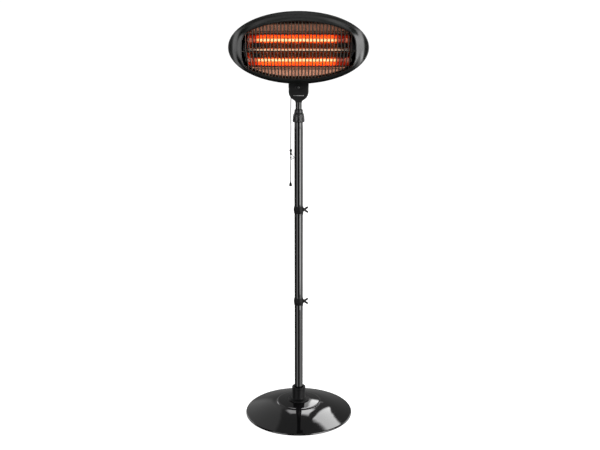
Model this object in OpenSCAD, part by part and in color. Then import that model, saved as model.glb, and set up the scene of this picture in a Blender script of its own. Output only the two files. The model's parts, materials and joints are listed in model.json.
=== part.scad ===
/* Free-standing quartz patio heater: domed weighted base, three-section pole,
   telescoping mast with a twist lock, tilting oval head with three quartz
   lamps behind a wire guard, and a pull-cord switch in the neck.
   Millimetres, +Z up, front of the head faces -Y, origin on the floor under
   the pole axis. */

/* [Base] */
// Diameter of the domed base cover
base_d = 416; // [390:2:440]
// Height of the dome where the pole socket stands on it
base_h = 54; // [50:1:60]
// Thickness of the pressed steel cover
cover_t = 1.6; // [1.2:0.1:2.4]
// Diameter of the concrete weight inside the base
weight_d = 352; // [320:2:360]
// Air gap between the concrete and the cover above it
weight_gap = 1.5; // [1:0.5:4]

/* [Pole] */
// Outer diameter of the three pole sections
pole_d = 32; // [31:0.5:33]
// Wall thickness of the pole sections
pole_wall = 1.2; // [1:0.1:1.4]
// Height of the joint between the lower and the middle section
joint1_z = 458; // [420:2:500]
// Height of the joint between the middle and the upper section
joint2_z = 816; // [760:2:860]
// Height of the top end of the upper section
pole_top = 1144; // [1140:1:1145]
// Depth that each swaged end reaches into the section below
spigot_len = 45; // [35:1:60]

/* [Mast] */
// Outer diameter of the telescoping mast tube
mast_d = 23; // [22:0.25:23.5]
// Wall thickness of the mast tube
mast_wall = 1.3; // [1:0.1:1.6]
// Height of the bottom end of the mast tube when it is pushed down
mast_bottom = 664; // [640:2:700]

/* [Head] */
// Width of the oval head
head_w = 492; // [480:2:504]
// Height of the oval head
head_h = 248; // [242:1:254]
// Height of the middle of the oval above the floor
head_z = 1406; // [1405:0.5:1407]
// Height of the middle lamp and of the reflector above the floor
lamp_z = 1398; // [1397:0.5:1399]
// Thickness of the pressed rear shell
shell_t = 1.2; // [0.9:0.1:2]
// Spacing of the three lamps
lamp_pitch = 34.5; // [32:0.5:36]
// Outer diameter of the quartz tubes
lamp_d = 12; // [10:0.5:13]
// Spacing of the upright guard wires
wire_pitch = 12.4; // [12:0.1:12.6]
// Diameter of the guard wires
wire_d = 2.2; // [1.8:0.1:2.4]

/* [Pull cord] */
// Diameter of the pull cord
cord_d = 3; // [1.8:0.1:3.2]
// Diameter of the loose tail of the pull cord, mm
cord_tail_d = 2.2; // [1.6:0.1:2.4]
// Largest diameter of the pull knob
knob_d = 11; // [9:0.5:13]

/* [Hidden] */
$fn = 64;

pr = pole_d / 2;               // pole radius
pri = pr - pole_wall;          // pole bore radius
sr = pri - 0.1;                // swaged spigot radius
sri = sr - 1.1;                // swaged spigot bore radius
mr = mast_d / 2;               // mast radius
mri = mr - mast_wall;          // mast bore radius
br = base_d / 2;
fit = 0.05;                    // radial clearance of a running fit
gap = 0.35;                    // clearance between parts that only pass

// ---- helpers ---------------------------------------------------------
// point on an ellipse, with each side cut off smoothly at x = lim
function soft(x, lim, k = 14) = abs(x) < 0.001 ? 0
  : sign(x) * pow(pow(abs(x), -k) + pow(lim, -k), -1 / k);
function ring(a, b, y, z, n, lim = 100000) =
  [for (i = [0:n - 1]) [soft(a * cos(360 * i / n), lim), y, z + b * sin(360 * i / n)]];
function flat2(a, b, z, n, lim = 100000) =
  [for (i = [0:n - 1]) [soft(a * cos(360 * i / n), lim), z + b * sin(360 * i / n)]];

// closed skin through rings of equal length; loop = true joins last to first
module skin(rings, loop = false) {
  m = len(rings);
  n = len(rings[0]);
  pts = [for (r = rings) each r];
  side = [for (j = [0:(loop ? m - 1 : m - 2)], i = [0:n - 1])
    let (a = j * n + i, b = j * n + (i + 1) % n,
         c = ((j + 1) % m) * n + (i + 1) % n, d = ((j + 1) % m) * n + i)
    each [[a, b, c], [a, c, d]]];
  ends = loop ? [] : [[for (i = [n - 1:-1:0]) i], [for (i = [0:n - 1]) (m - 1) * n + i]];
  polyhedron(points = pts, faces = concat(side, ends), convexity = 8);
}

// bar along X, Y or Z from one end to the other
module bar_x(r, x0, x1, y, z) translate([x0, y, z]) rotate([0, 90, 0]) cylinder(r = r, h = x1 - x0);
module bar_y(r, y0, y1, x, z) translate([x, y0, z]) rotate([-90, 0, 0]) cylinder(r = r, h = y1 - y0);
module bar_z(r, z0, z1, x = 0, y = 0) translate([x, y, z0]) cylinder(r = r, h = z1 - z0);
// ring with straight walls around the pole axis
module sleeve(ro, ri, z0, z1) translate([0, 0, z0]) difference() {
  cylinder(r = ro, h = z1 - z0);
  translate([0, 0, -1]) cylinder(r = ri, h = z1 - z0 + 2);
}
// plate in the XZ plane, from y0 to y1
module plate_xz(pts, y0, y1) translate([0, y1, 0]) rotate([90, 0, 0]) linear_extrude(y1 - y0) polygon(pts);
// plate in the YZ plane, from x0 to x1
module plate_yz(pts, x0, x1) translate([x0, 0, 0]) rotate([90, 0, 90]) linear_extrude(x1 - x0) polygon(pts);

// ---- base --------------------------------------------------------------
foot_r = 155;
tray_z = 5;
weight_z = tray_z + 1.2;
// outer profile of the dome: radius, height
dome = [[br, 2], [br, 6.5], [br - 2.2, 9], [br - 14, 13.2], [br - 32, 19.6], [br - 52, 26.6],
        [br - 76, 34.6], [br - 100, 41.4], [br - 118, 45.4], [br - 122, 46.6], [br - 125, 48.8],
        [br - 130, base_h - 4], [br - 148, base_h - 1.6], [44, base_h], [7, base_h]];

module rubber_feet() color([0.05, 0.05, 0.05]) for (i = [0:5]) rotate([0, 0, 60 * i + 30]) translate([foot_r, 0, 0]) {
  cylinder(r = 14, h = tray_z);
  translate([0, 0, tray_z]) cylinder(r = 3.9, h = 4);
}

module base_tray() color([0.25, 0.26, 0.27]) difference() {
  cylinder(r = weight_d / 2 + 3, h = 14.2);
  translate([0, 0, weight_z]) cylinder(r = weight_d / 2 + 1.8, h = 20);
  translate([0, 0, -1]) cylinder(r = weight_d / 2 + 4, h = tray_z + 1);
  translate([0, 0, -1]) cylinder(r = 18, h = 20);
  for (i = [0:5]) rotate([0, 0, 60 * i + 30]) translate([foot_r, 0, 0]) cylinder(r = 4, h = 20);
}

// underside of the dome at a radius, from its profile
function under(r) = lookup(r, [for (i = [len(dome) - 1:-1:2]) dome[i]]) - cover_t - weight_gap;
module base_weight() color([0.55, 0.55, 0.53]) difference() {
  rotate_extrude($fn = 96) polygon(concat([[1, weight_z], [weight_d / 2, weight_z], [weight_d / 2, under(weight_d / 2 + 2) - 2]],
    [for (r = [160, 130, 105, 88, 76, 30, 1]) [r, under(r + 2) - 0.4]]));
  translate([0, 0, 0]) cylinder(r = 18, h = 16);
  cylinder(r = 5.2, h = base_h + 2);
  for (i = [0:5]) rotate([0, 0, 60 * i + 30]) translate([foot_r, 0, 0]) cylinder(r = 4.2, h = 14);
}

module base_cover() color([0.06, 0.06, 0.065]) difference() {
  rotate_extrude($fn = 128) polygon(concat(dome,
    [[7, base_h - cover_t], [44, base_h - cover_t]],
    [for (i = [len(dome) - 3:-1:1]) [dome[i][0] - (i < 4 ? cover_t : 0.4), dome[i][1] - (i < 3 ? 0.4 : cover_t)]],
    [[br - cover_t, 2]]));
  for (i = [0:2]) rotate([0, 0, 120 * i]) translate([33, 0, 0]) cylinder(r = 2.6, h = base_h + 2);
}

module base_bolt() color([0.7, 0.7, 0.7]) union() {
  translate([0, 0, 8.5]) cylinder(r = 7.5, h = 5.5, $fn = 6);
  bar_z(5, 14, 84);
}
module base_washer() color([0.65, 0.65, 0.65]) sleeve(16.5, 5.3, 14.05, 15.95);

socket_top = 108;
socket_floor = base_h + 11;
module pole_socket() color([0.07, 0.07, 0.07]) difference() {
  rotate_extrude($fn = 96) polygon([[5.3, base_h], [40.5, base_h], [40.5, base_h + 3.5], [38.5, base_h + 5],
    [28.5, base_h + 6.5], [26.2, base_h + 10], [25.4, socket_top - 9], [26.2, socket_top - 7.5],
    [26.2, socket_top - 1], [25.2, socket_top], [pr + 3.2, socket_top], [pr + 0.08, socket_top - 8],
    [pr + 0.08, socket_floor], [5.3, socket_floor]]);
  // pockets for the three flange screws, closed by the cover below
  for (i = [0:2]) rotate([0, 0, 120 * i]) translate([33, 0, base_h - 1]) cylinder(r = 2, h = 5);
}

// ---- pole --------------------------------------------------------------
module pole_insert() color([0.75, 0.72, 0.6]) sleeve(pri - 0.05, 5.1, socket_floor + 0.4, socket_floor + 24);
module lower_tube() color([0.08, 0.08, 0.085]) sleeve(pr, pri, socket_floor, joint1_z);
module section(z0, z1) difference() {
  union() {
    bar_z(pr, z0, z1);
    bar_z(sr, z0 - spigot_len, z0 + 1);
  }
  bar_z(sri, z0 - spigot_len - 1, z0 + 3);
  bar_z(pri, z0 + 2, z1 + 1);
}
module middle_tube() color([0.08, 0.08, 0.085]) section(joint1_z, joint2_z);
module upper_tube() color([0.08, 0.08, 0.085]) section(joint2_z, pole_top);

boss_x = pr + 6.5;
// clamp around a pole joint, with a boss on +X for the wing screw
module clamp(z) difference() {
  union() {
    rotate_extrude($fn = 96) polygon([[pr + 0.05, z - 13.5], [pr + 1, z - 14], [pr + 1.2, z - 12], [pr + 2.3, z - 8],
      [pr + 2.6, z], [pr + 2.3, z + 8], [pr + 1.2, z + 12], [pr + 0.9, z + 12.5], [pr + 0.05, z + 12.5]]);
    bar_x(7, pr - 2, boss_x, 0, z);
    // pinch lug under the boss
    translate([pr - 4, -4, z - 19]) cube([5.2, 8, 10]);
  }
  bar_z(pr + 0.05, z - 30, z + 30);
  bar_x(3.05, 0, boss_x + 1, 0, z);
  bar_x(5.2, 0, pr + 3, 0, z);
}
module lower_clamp() color([0.07, 0.07, 0.07]) clamp(joint1_z);
module upper_clamp() color([0.07, 0.07, 0.07]) clamp(joint2_z);
module clamp_nuts() color([0.75, 0.6, 0.3]) for (z = [joint1_z, joint2_z]) difference() {
  bar_x(5.1, pr + 0.4, pr + 2.9, 0, z);
  bar_x(3.05, 0, pr + 5, 0, z);
}
// wing screw along X, with two ears that spread up and down
module wing_screw(z) translate([0, 0, z]) union() {
  bar_x(3, pr + 0.4, boss_x + 3, 0, 0);
  bar_x(5, boss_x + 0.4, boss_x + 4.5, 0, 0);
  for (s = [-1, 1]) plate_xz([[boss_x + 0.6, s * 1.2], [boss_x + 0.6, s * 4.6], [boss_x + 6, s * 8.4],
    [boss_x + 12, s * 10.4], [boss_x + 13.4, s * 9.4], [boss_x + 13.2, s * 7.2], [boss_x + 8, s * 4.6], [boss_x + 4.4, s * 1.2]], -2, 2);
}
module lower_wing_screw() color([0.07, 0.07, 0.07]) wing_screw(joint1_z);
module upper_wing_screw() color([0.07, 0.07, 0.07]) wing_screw(joint2_z);

// ---- twist lock --------------------------------------------------------
module guide_ferrule() color([0.12, 0.12, 0.12]) difference() {
  union() {
    bar_z(pri - fit, pole_top - 66, pole_top + 1);
    bar_z(pr, pole_top, pole_top + 3);
    bar_z(pr - 1, pole_top + 2, pole_top + 22);
  }
  bar_z(mr + fit, pole_top - 70, pole_top + 30);
}
// split ring squeezed on to the mast by the collar's cone
module grip_collet() color([0.8, 0.8, 0.76]) difference() {
  translate([0, 0, pole_top + 22.3]) union() {
    cylinder(r = pr - 1.4, h = 5);
    translate([0, 0, 5]) cylinder(r1 = pr - 1.4, r2 = mr + 1.2, h = 8);
  }
  bar_z(mr + gap, pole_top + 20, pole_top + 40);
  translate([0, -0.8, pole_top + 20]) cube([40, 1.6, 30]);
}
lock_z0 = pole_top - 1.5;
lock_top = pole_top + 45.5;
module lock_collar() color([0.07, 0.07, 0.07]) difference() {
  rotate_extrude($fn = 96) polygon([[pr + gap, lock_z0], [pr + 4.6, lock_z0], [pr + 5.8, lock_z0 + 3], [pr + 5.6, lock_z0 + 12],
    [pr + 5, lock_z0 + 20], [pr + 4, lock_z0 + 26], [pr + 3.4, lock_z0 + 29], [pr + 0.8, lock_z0 + 33.5],
    [pr - 0.4, lock_z0 + 42], [pr - 1.6, lock_top - 1], [pr - 2.8, lock_top], [mr + 0.5, lock_top], [mr + 0.5, lock_top - 5],
    [mr + 1.8, lock_top - 7.5], [pr - 0.9, lock_top - 16.5], [pr - 1 + fit, lock_top - 21.5], [pr - 1 + fit, pole_top + 3.4], [pr + gap, pole_top + 3.4]]);
  for (i = [0:15]) rotate([0, 0, 22.5 * i + 11.25]) bar_z(1.7, lock_z0 + 3, lock_z0 + 24, pr + 6.6, 0);
}

// ---- mast and neck -------------------------------------------------------
mast_top = 1252;
module mast_tube() color([0.08, 0.08, 0.085]) sleeve(mr, mri, mast_bottom, mast_top);
module mast_stop_ring() color([0.8, 0.8, 0.78]) union() {
  sleeve(sri - gap, mri - 2, mast_bottom - 4, mast_bottom);
  sleeve(mri - 0.05, mri - 2, mast_bottom - 1, mast_bottom + 12);
}

piv_z = 1292;                 // height of the tilt pivot
neck_y = 20;                  // half depth of the neck housing
// outline of the neck housing seen from the front, right half, upwards
neck_half = [[12.4, 1214], [12.6, 1219], [16.5, 1221.4], [22, 1225.2], [27, 1229.4], [31, 1234.4],
             [34, 1240.4], [35.8, 1246.6], [36.5, 1253], [36.5, 1277], [34.5, 1279]];
function neck_outline(d) = concat(
  [for (p = neck_half) [p[0] - d, p[1] + (p[1] > 1270 ? -d : p[1] < 1250 && p[0] > 13 ? d * 0.8 : 0)]],
  [for (i = [len(neck_half) - 1:-1:0]) let (p = neck_half[i])
    [-p[0] + d, p[1] + (p[1] > 1270 ? -d : p[1] < 1250 && p[0] > 13 ? d * 0.8 : 0)]]);
cord_x = -28;                 // the pull cord hangs here

// half of the neck housing; s = -1 front, 1 rear
module neck_half_shell(s) difference() {
  union() {
    plate_xz(neck_outline(0), s < 0 ? -neck_y + 2.5 : 0.05, s < 0 ? -0.05 : neck_y - 2.5);
    plate_xz(neck_outline(1.1), s < 0 ? -neck_y + 1 : 0.05, s < 0 ? -0.05 : neck_y - 1);
    plate_xz(neck_outline(2.6), s < 0 ? -neck_y : 0.05, s < 0 ? -0.05 : neck_y);
    // pivot lug between the ears of the yoke
    intersection() {
      union() {
        bar_x(10.5, -25.4, 25.4, 0, piv_z);
        translate([-25.4, -10.5, 1276]) cube([50.8, 21, piv_z - 1276]);
      }
      translate([-40, s < 0 ? -30 : 0.05, 1200]) cube([80, 29.95, 200]);
    }
  }
  // seat of the mast tube, and the way of the wires above it
  bar_z(mr + 0.02, 1200, mast_top);
  bar_z(8, mast_top - 1, 1276);
  for (x = [-2.2, 2.2]) bar_z(1.8, 1270, 1287, x, -2.4);
  // pivot bush seat
  bar_x(7.02, -30, 30, 0, piv_z);
  // switch pocket on the cord side, tip-over switch pocket on the other
  translate([-33.6, s < 0 ? -16.6 : -1, 1246]) cube([19, 17.6, 28]);
  plate_xz([[-32.4, 1239.6], [-14.6, 1239.6], [-14.6, 1247], [-33.6, 1247], [-33.6, 1243.2]], s < 0 ? -9 : -1, s < 0 ? 1 : 9);
  translate([14.6, s < 0 ? -14.6 : -1, 1248]) cube([18.8, 15.6, 26]);
  // wire ways from the pockets to the middle
  bar_x(3.2, -16, 16, 0, 1268);
  // cord hole, vertical
  bar_z(3.25, 1215, 1246, cord_x, 0);
}
module neck_front() color([0.09, 0.09, 0.095]) difference() {
  neck_half_shell(-1);
  // oval recess around the assembly screw
  translate([0, -neck_y - 1, 1267]) rotate([-90, 0, 0]) linear_extrude(4.2) polygon([for (i = [0:31]) [12 * cos(i * 11.25), 6.6 * sin(i * 11.25)]]);
  bar_y(2.2, -30, 0, 0, 1267);
  for (x = [-16, 16]) bar_y(2.02, -9, 1, x, 1230);
  // seat of the plain bar
  translate([-19.2, -neck_y - 1, 1236.7]) cube([38.4, 1.8, 3.6]);
}
module neck_rear() color([0.09, 0.09, 0.095]) difference() {
  neck_half_shell(1);
  bar_y(1.6, 0, 14, 0, 1267);
  for (p = [[-30, 1279], [30, 1279]]) bar_y(1.5, 4, 16, 0, 1240);
  for (x = [-16, 16]) bar_y(2.1, 0, neck_y + 1, x, 1230);
}
module neck_screws() color([0.6, 0.6, 0.6]) for (x = [-16, 16]) union() {
  bar_y(3.6, neck_y + 0.1, neck_y + 2.2, x, 1230);
  bar_y(2, -8, neck_y + 0.2, x, 1230);
}
module recess_screw() color([0.75, 0.75, 0.75]) difference() {
  union() {
    bar_y(4, -neck_y + 1.2, -neck_y + 3.1, 0, 1267);
    bar_y(2.1, -neck_y + 3, -9.2, 0, 1267);
  }
  for (a = [0, 90]) translate([0, -neck_y + 1, 1267]) rotate([0, a, 0]) cube([4.4, 1.8, 0.8], center = true);
}
module badge_bar() color([0.7, 0.7, 0.7]) translate([-19, -neck_y - 0.2, 1236.9]) cube([38, 0.95, 3.2]);
module pivot_bush() color([0.75, 0.75, 0.75]) difference() {
  bar_x(7, -25.4, 25.4, 0, piv_z);
  bar_x(4 + fit, -26, 26, 0, piv_z);
}

// ---- pull switch and cord -----------------------------------------------
module switch_body() color([0.85, 0.83, 0.76]) difference() {
  translate([-33.3, -8.6, 1247.2]) cube([18.4, 17.2, 26.4]);
  // guide of the lever
  translate([cord_x - 3.4, -3.4, 1240]) cube([6.8, 6.8, 22]);
}
module cord_grommet() color([0.1, 0.1, 0.1]) difference() {
  bar_z(3.2, 1226, 1239, cord_x, 0);
  bar_z(cord_d / 2 + 0.8, 1220, 1240, cord_x, 0);
}
module tip_over_switch() color([0.15, 0.15, 0.16]) translate([15, -12, 1250]) cube([18, 12, 22]);
module neck_wiring() color([0.35, 0.2, 0.1]) union() {
  bar_z(1.5, 1257, 1285, -2.2, -2.4);
  bar_z(1.5, 1257, 1285, 2.2, -2.4);
}
lever_z = 1250;
module switch_lever() color([0.9, 0.9, 0.86]) difference() {
  translate([cord_x - 3, -3, lever_z]) cube([6, 6, 11.5]);
  bar_y(1, -4, 4, cord_x, lever_z + 3.6);
}

// round tube of eight sides swept along route points
function unit(v) = v / norm(v);
function tangent(p, i) = unit(p[min(i + 1, len(p) - 1)] - p[max(i - 1, 0)]);
function smooth(p, k) = [for (i = [0:len(p) - 2], j = [0:k - 1])
    let (a = p[max(i - 1, 0)], b = p[i], c = p[i + 1], d = p[min(i + 2, len(p) - 1)], t = j / k)
    0.5 * ((2 * b) + (c - a) * t + (2 * a - 5 * b + 4 * c - d) * t * t + (3 * b - a - 3 * c + d) * t * t * t)];
module cord(p, r) {
  rings = [for (i = [0:len(p) - 1])
    let (t = i == 0 ? [0, 0, -1] : i == len(p) - 1 ? [0, 0, -1] : tangent(p, i),
         u = [0, 1, 0], w = unit(cross(t, u)))
    [for (k = [0:7]) p[i] + r * (cos(45 * k + 22.5) * w + sin(45 * k + 22.5) * u)]];
  skin(rings);
}
// route of the upper length, from the lever's eye down to the connector
upper_route = [[-28, 0, 1250], [-28, 0, 1238], [-28, 0, 1230], [-28.1, 0, 1222], [-28.4, 0, 1206], [-28.6, 0, 1190], [-28.7, 0, 1172], [-28.6, 0, 1154],
  [-28.5, 0, 1136], [-28.4, 0, 1118], [-28.6, 0, 1100], [-28.8, 0, 1082], [-28.9, 0, 1064], [-29, 0, 1044]];
// route of the lower length: through the knot, then down
lower_route = [[-29, 0, 1021], [-29.1, 0, 1014], [-29.3, 0, 1006], [-29.4, 0, 996], [-29.8, 0, 984], [-30, 0, 968], [-30.2, 0, 950], [-30.2, 0, 936], [-30.2, 0, 923]];
// tail of the cord: a small loop from the connector back to the knot
tail_route = [[-25.6, -4.4, 1025.6], [-24.4, -6, 1023.8], [-21.8, -10.2, 1021.6], [-18.9, -15.4, 1018.6], [-17.6, -17.8, 1014.4], [-18.9, -16.2, 1010.4],
  [-22, -11.2, 1008.4], [-25, -6.6, 1007.6], [-26.4, -4.4, 1005.8]];
conn = [-29, 0];
low = [-30.2, 0];
module pull_cord_upper() color([0.2, 0.2, 0.2]) cord(concat(smooth(upper_route, 3), [upper_route[len(upper_route) - 1]]), cord_d / 2);
module pull_cord_lower() color([0.2, 0.2, 0.2]) cord(concat(smooth(lower_route, 3), [lower_route[len(lower_route) - 1]]), cord_d / 2);
module cord_tail() color([0.2, 0.2, 0.2]) cord(concat(smooth(tail_route, 3), [tail_route[len(tail_route) - 1]]), cord_tail_d / 2);
module cord_connector() color([0.05, 0.05, 0.05]) translate([conn[0], conn[1], 0])
  rotate_extrude($fn = 32) polygon([[0, 1021], [2.3, 1021], [3.6, 1023], [3.6, 1029], [2.8, 1031], [2.8, 1033], [4.3, 1035], [4.7, 1038], [4, 1041.5], [2.2, 1044], [0, 1044]]);
module cord_knot() color([0.35, 0.35, 0.35]) difference() {
  translate([-29.15, 0, 1012]) rotate_extrude($fn = 24) polygon([[0, -5], [2.3, -4.6], [3.4, -2], [3.2, 1.6], [2.3, 4.4], [0, 5]]);
  cord(concat(smooth(lower_route, 3), [lower_route[len(lower_route) - 1]]), cord_d / 2);
}
module pull_knob() color([0.04, 0.04, 0.04]) translate([low[0], low[1], 0])
  rotate_extrude($fn = 48) polygon([[0, 904.4], [knob_d * 0.28, 904.4], [knob_d * 0.42, 905.6], [knob_d * 0.5, 908.4], [knob_d * 0.47, 911.4],
    [knob_d * 0.32, 915.6], [knob_d * 0.2, 919.6], [1.8, 923], [0, 923]]);

// ---- tilt joint ----------------------------------------------------------
module tilt_yoke() color([0.1, 0.1, 0.105]) difference() {
  union() {
    // rear plate against the flat back of the shell
    translate([-34, 22.2, 1352]) cube([68, 2.4, 66]);
    for (s = [-1, 1]) plate_yz([[-10.8, 1297.2], [-12, 1292], [-10.4, 1286], [-6, 1281.6], [0, 1280], [6, 1281.6], [10.4, 1286],
        [13.6, 1294], [22, 1318], [28, 1343], [28, 1366], [24.6, 1372], [22.3, 1372], [22.3, 1352.5], [19.6, 1340.5], [10.2, 1324.6], [0, 1313.6], [-7.6, 1303]],
        s > 0 ? 26 : -28.4, s > 0 ? 28.4 : -26);
  }
  bar_x(4 + fit, -40, 40, 0, piv_z);
  for (x = [-24, 24], z = [1378, 1410]) bar_y(2.2, 15, 30, x, z);
}
module yoke_screws() color([0.7, 0.7, 0.7]) for (x = [-24, 24], z = [1378, 1410]) union() {
  bar_y(4, 24.7, 27, x, z);
  bar_y(2.1, 14, 24.8, x, z);
}
module tilt_bolt() color([0.75, 0.75, 0.75]) union() {
  bar_x(4, -31, 41, 0, piv_z);
  translate([-36, 0, piv_z]) rotate([0, 90, 0]) cylinder(r = 7.2, h = 5, $fn = 6);
}
module tilt_washers() color([0.75, 0.75, 0.75]) for (x = [-30.6, 28.5]) difference() {
  bar_x(8, x, x + 2, 0, piv_z);
  bar_x(4 + fit, x - 1, x + 3, 0, piv_z);
}
module tilt_knob() color([0.05, 0.05, 0.05]) translate([0, 0, piv_z]) difference() {
  union() {
    bar_x(6.8, 30.9, 36, 0, 0);
    // six-lobed grip
    plate_yz([for (i = [0:71]) let (r = 10.1 + 1.5 * cos(30 * i)) [r * cos(5 * i), r * sin(5 * i)]], 35, 46);
  }
  bar_x(4 + fit, 30, 42, 0, 0);
}

// ---- head ----------------------------------------------------------------
ha = head_w / 2;
hb = head_h / 2;
oa = ha - 18;                 // opening, full ellipse half width before its sides are cut
ob = hb - 27;                 // opening half height
ol = ha - 49;                 // half width of the opening at its cut sides
hn = 72;                      // points round each ring
yf = -97;                     // front edge of the opening
yb = -82;                     // back edge of the bezel

module bezel() color([0.16, 0.165, 0.17]) skin([
  ring(ha - 0.4, hb - 0.4, yb, head_z, hn),
  ring(ha, hb, yb - 1.5, head_z, hn),
  ring(ha - 1, hb - 1, yb - 4, head_z, hn),
  ring((ha * 2 + oa) / 3 - 6, hb - 10, yb - 9, head_z - 2, hn, 232),
  ring(oa + 3, ob + 4, yf + 0.4, lamp_z + 0.6, hn, ol + 5),
  ring(oa, ob, yf, lamp_z + 0.6, hn, ol + 1),
  ring(oa - 1, ob - 1, yf + 1, lamp_z + 0.6, hn, ol),
  ring(oa - 2, ob - 2, yb, lamp_z + 0.6, hn, ol - 1),
  ring(oa - 0.8, ob - 0.8, yb, lamp_z + 0.6, hn, ol + 0.2),
  ring(oa + 0.6, ob + 0.6, yf + 2.2, lamp_z + 0.6, hn, ol + 1.6),
  ring((ha * 2 + oa) / 3 - 6.4, hb - 11, yb - 7.8, head_z - 2, hn, 231.2),
  ring(ha - 2, hb - 2, yb - 2.7, head_z, hn),
  ring(ha - 1.6, hb - 1.6, yb, head_z, hn)
], loop = true);
// spring clips that hold the bezel on the shell
module bezel_clips() color([0.7, 0.7, 0.7]) for (i = [0:5]) {
  a = 30 + 60 * i;
  translate([(ha - 8) * cos(a), yb + 0.1, head_z + (hb - 8) * sin(a)]) rotate([0, -a, 0]) translate([-3, 0, -5]) cube([3, 9, 10]);
}
// half width, half height and depth of the rear shell
shell = [[ha - 3, hb - 3, yb + 0.1], [ha - 8, hb - 5.5, -62], [ha - 18, hb - 12, -35], [ha - 38, hb - 25, -10],
         [ha - 66, hb - 41, 8], [ha - 96, hb - 57, 18], [ha - 118, hb - 70, 22]];
module back_shell() color([0.12, 0.12, 0.125]) difference() {
  skin(concat(
    [for (s = [len(shell) - 1:-1:0]) ring(shell[s][0], shell[s][1], shell[s][2], head_z, hn)],
    [for (s = [0:len(shell) - 1]) ring(shell[s][0] - shell_t, shell[s][1] - shell_t, shell[s][2] - (s > 2 ? shell_t : 0), head_z, hn)]));
  // cooling slots along the top and the bottom of the back
  for (s = [-1, 1], i = [-5:5]) translate([i * 22 - 7, -6, head_z + s * (hb - 27) - (s > 0 ? 10 : -2)]) cube([14, 30, 8]);
  for (x = [-24, 24], z = [1378, 1410]) bar_y(2.15, 10, 30, x, z);
  bar_y(7.02, 0, 40, gland_x, gland_z);
}

// post positions shared by the heat shield and the reflector
posts = [for (x = [-92, 92], z = [-18, 18]) [x, lamp_z + z]];
module heat_shield() color([0.6, 0.6, 0.62]) union() {
  difference() {
    plate_xz(flat2(200, 88, head_z - 3, 64), -24, -23);
    // wire holes beside each lamp end
    for (x = [-184, 184], k = [0, 1]) bar_y(2.4, -30, -20, x, lamp_z + k * lamp_pitch);
  }
  for (p = posts) {
    bar_y(3, -29.1, -24, p[0], p[1]);
    bar_y(3, -23, 19.8, p[0], p[1]);
  }
}
tr = 55;                      // half height of the trough
trough = [[-71, 95], [-58, tr], [-31, tr - 3], [-31, -tr + 3], [-58, -tr], [-71, -97]];
module reflector() color([0.8, 0.8, 0.82]) intersection() {
  plate_yz(concat([for (p = trough) [p[0], lamp_z + p[1]]],
    [for (i = [5:-1:0]) let (p = trough[i]) [p[0] + (i == 0 || i == 5 ? 0.8 : i == 1 || i == 4 ? 1.0 : 0.9), lamp_z + p[1] + (i < 3 ? 0.9 : -0.9)]]),
    -178, 178);
  plate_xz(flat2(218, 107, head_z, 96), -90, 0);
}
module reflector_ends() color([0.7, 0.7, 0.72]) for (s = [-1, 1]) difference() {
  plate_yz([[-66, lamp_z + 50], [-66, lamp_z - 52], [-30, lamp_z - 50], [-30, lamp_z + 50]], s > 0 ? 178.1 : -179.7, s > 0 ? 179.7 : -178.1);
  for (k = [-1:1]) bar_x(7.6, -190, 190, lamp_y, lamp_z + k * lamp_pitch);
}
lamp_y = -51;
lr = lamp_d / 2;
module quartz_tubes() color([0.9, 0.75, 0.65, 0.5]) for (k = [-1:1]) difference() {
  bar_x(lr, -172, 172, lamp_y, lamp_z + k * lamp_pitch);
  bar_x(lr - 1, -173, 173, lamp_y, lamp_z + k * lamp_pitch);
}
module filament(z) union() {
  bar_x(0.9, -171.5, 171.5, lamp_y, z);
  bar_x(2.6, -150, 150, lamp_y, z);
  for (i = [-4:4]) bar_x(lr - 1.2, i * 34 - 0.6, i * 34 + 0.6, lamp_y, z);
}
module hot_filaments() color([1, 0.55, 0.2]) for (k = [-1, 1]) filament(lamp_z + k * lamp_pitch);
module cold_filament() color([0.4, 0.3, 0.25]) filament(lamp_z);
module lamp_caps() color([0.9, 0.88, 0.82]) for (s = [-1, 1], k = [-1:1]) difference() {
  bar_x(7.5, s > 0 ? 166 : -188, s > 0 ? 188 : -166, lamp_y, lamp_z + k * lamp_pitch);
  bar_x(lr + 0.03, s > 0 ? 165 : -172.1, s > 0 ? 172.1 : -165, lamp_y, lamp_z + k * lamp_pitch);
}
module lamp_supports() color([0.12, 0.11, 0.1]) for (k = [-1, 1]) {
  translate([-160, -47, lamp_z + k * 17.2 - 7.5]) difference() {
    cube([28, 15.9, 15]);
    translate([1.2, -1, 1.2]) cube([25.6, 15, 12.6]);
  }
  translate([139, -47, lamp_z + k * 17.2 - 7.5]) difference() {
    cube([34, 15.9, 15]);
    translate([1.2, -1, 1.2]) cube([31.6, 15, 12.6]);
  }
}

// ---- guard ---------------------------------------------------------------
gy = -76;                     // plane of the upright wires
gc = lamp_z + 0.6;
ga = oa + 6;
gb = ob + 6;
gl = ol + 6;
wr = wire_d / 2;
wires = 15;                   // upright wires on each side of the middle one
function reach(x) = gb * sqrt(1 - pow(min(abs(x), ga - 1) / ga, 2)) - 0.6;
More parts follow.
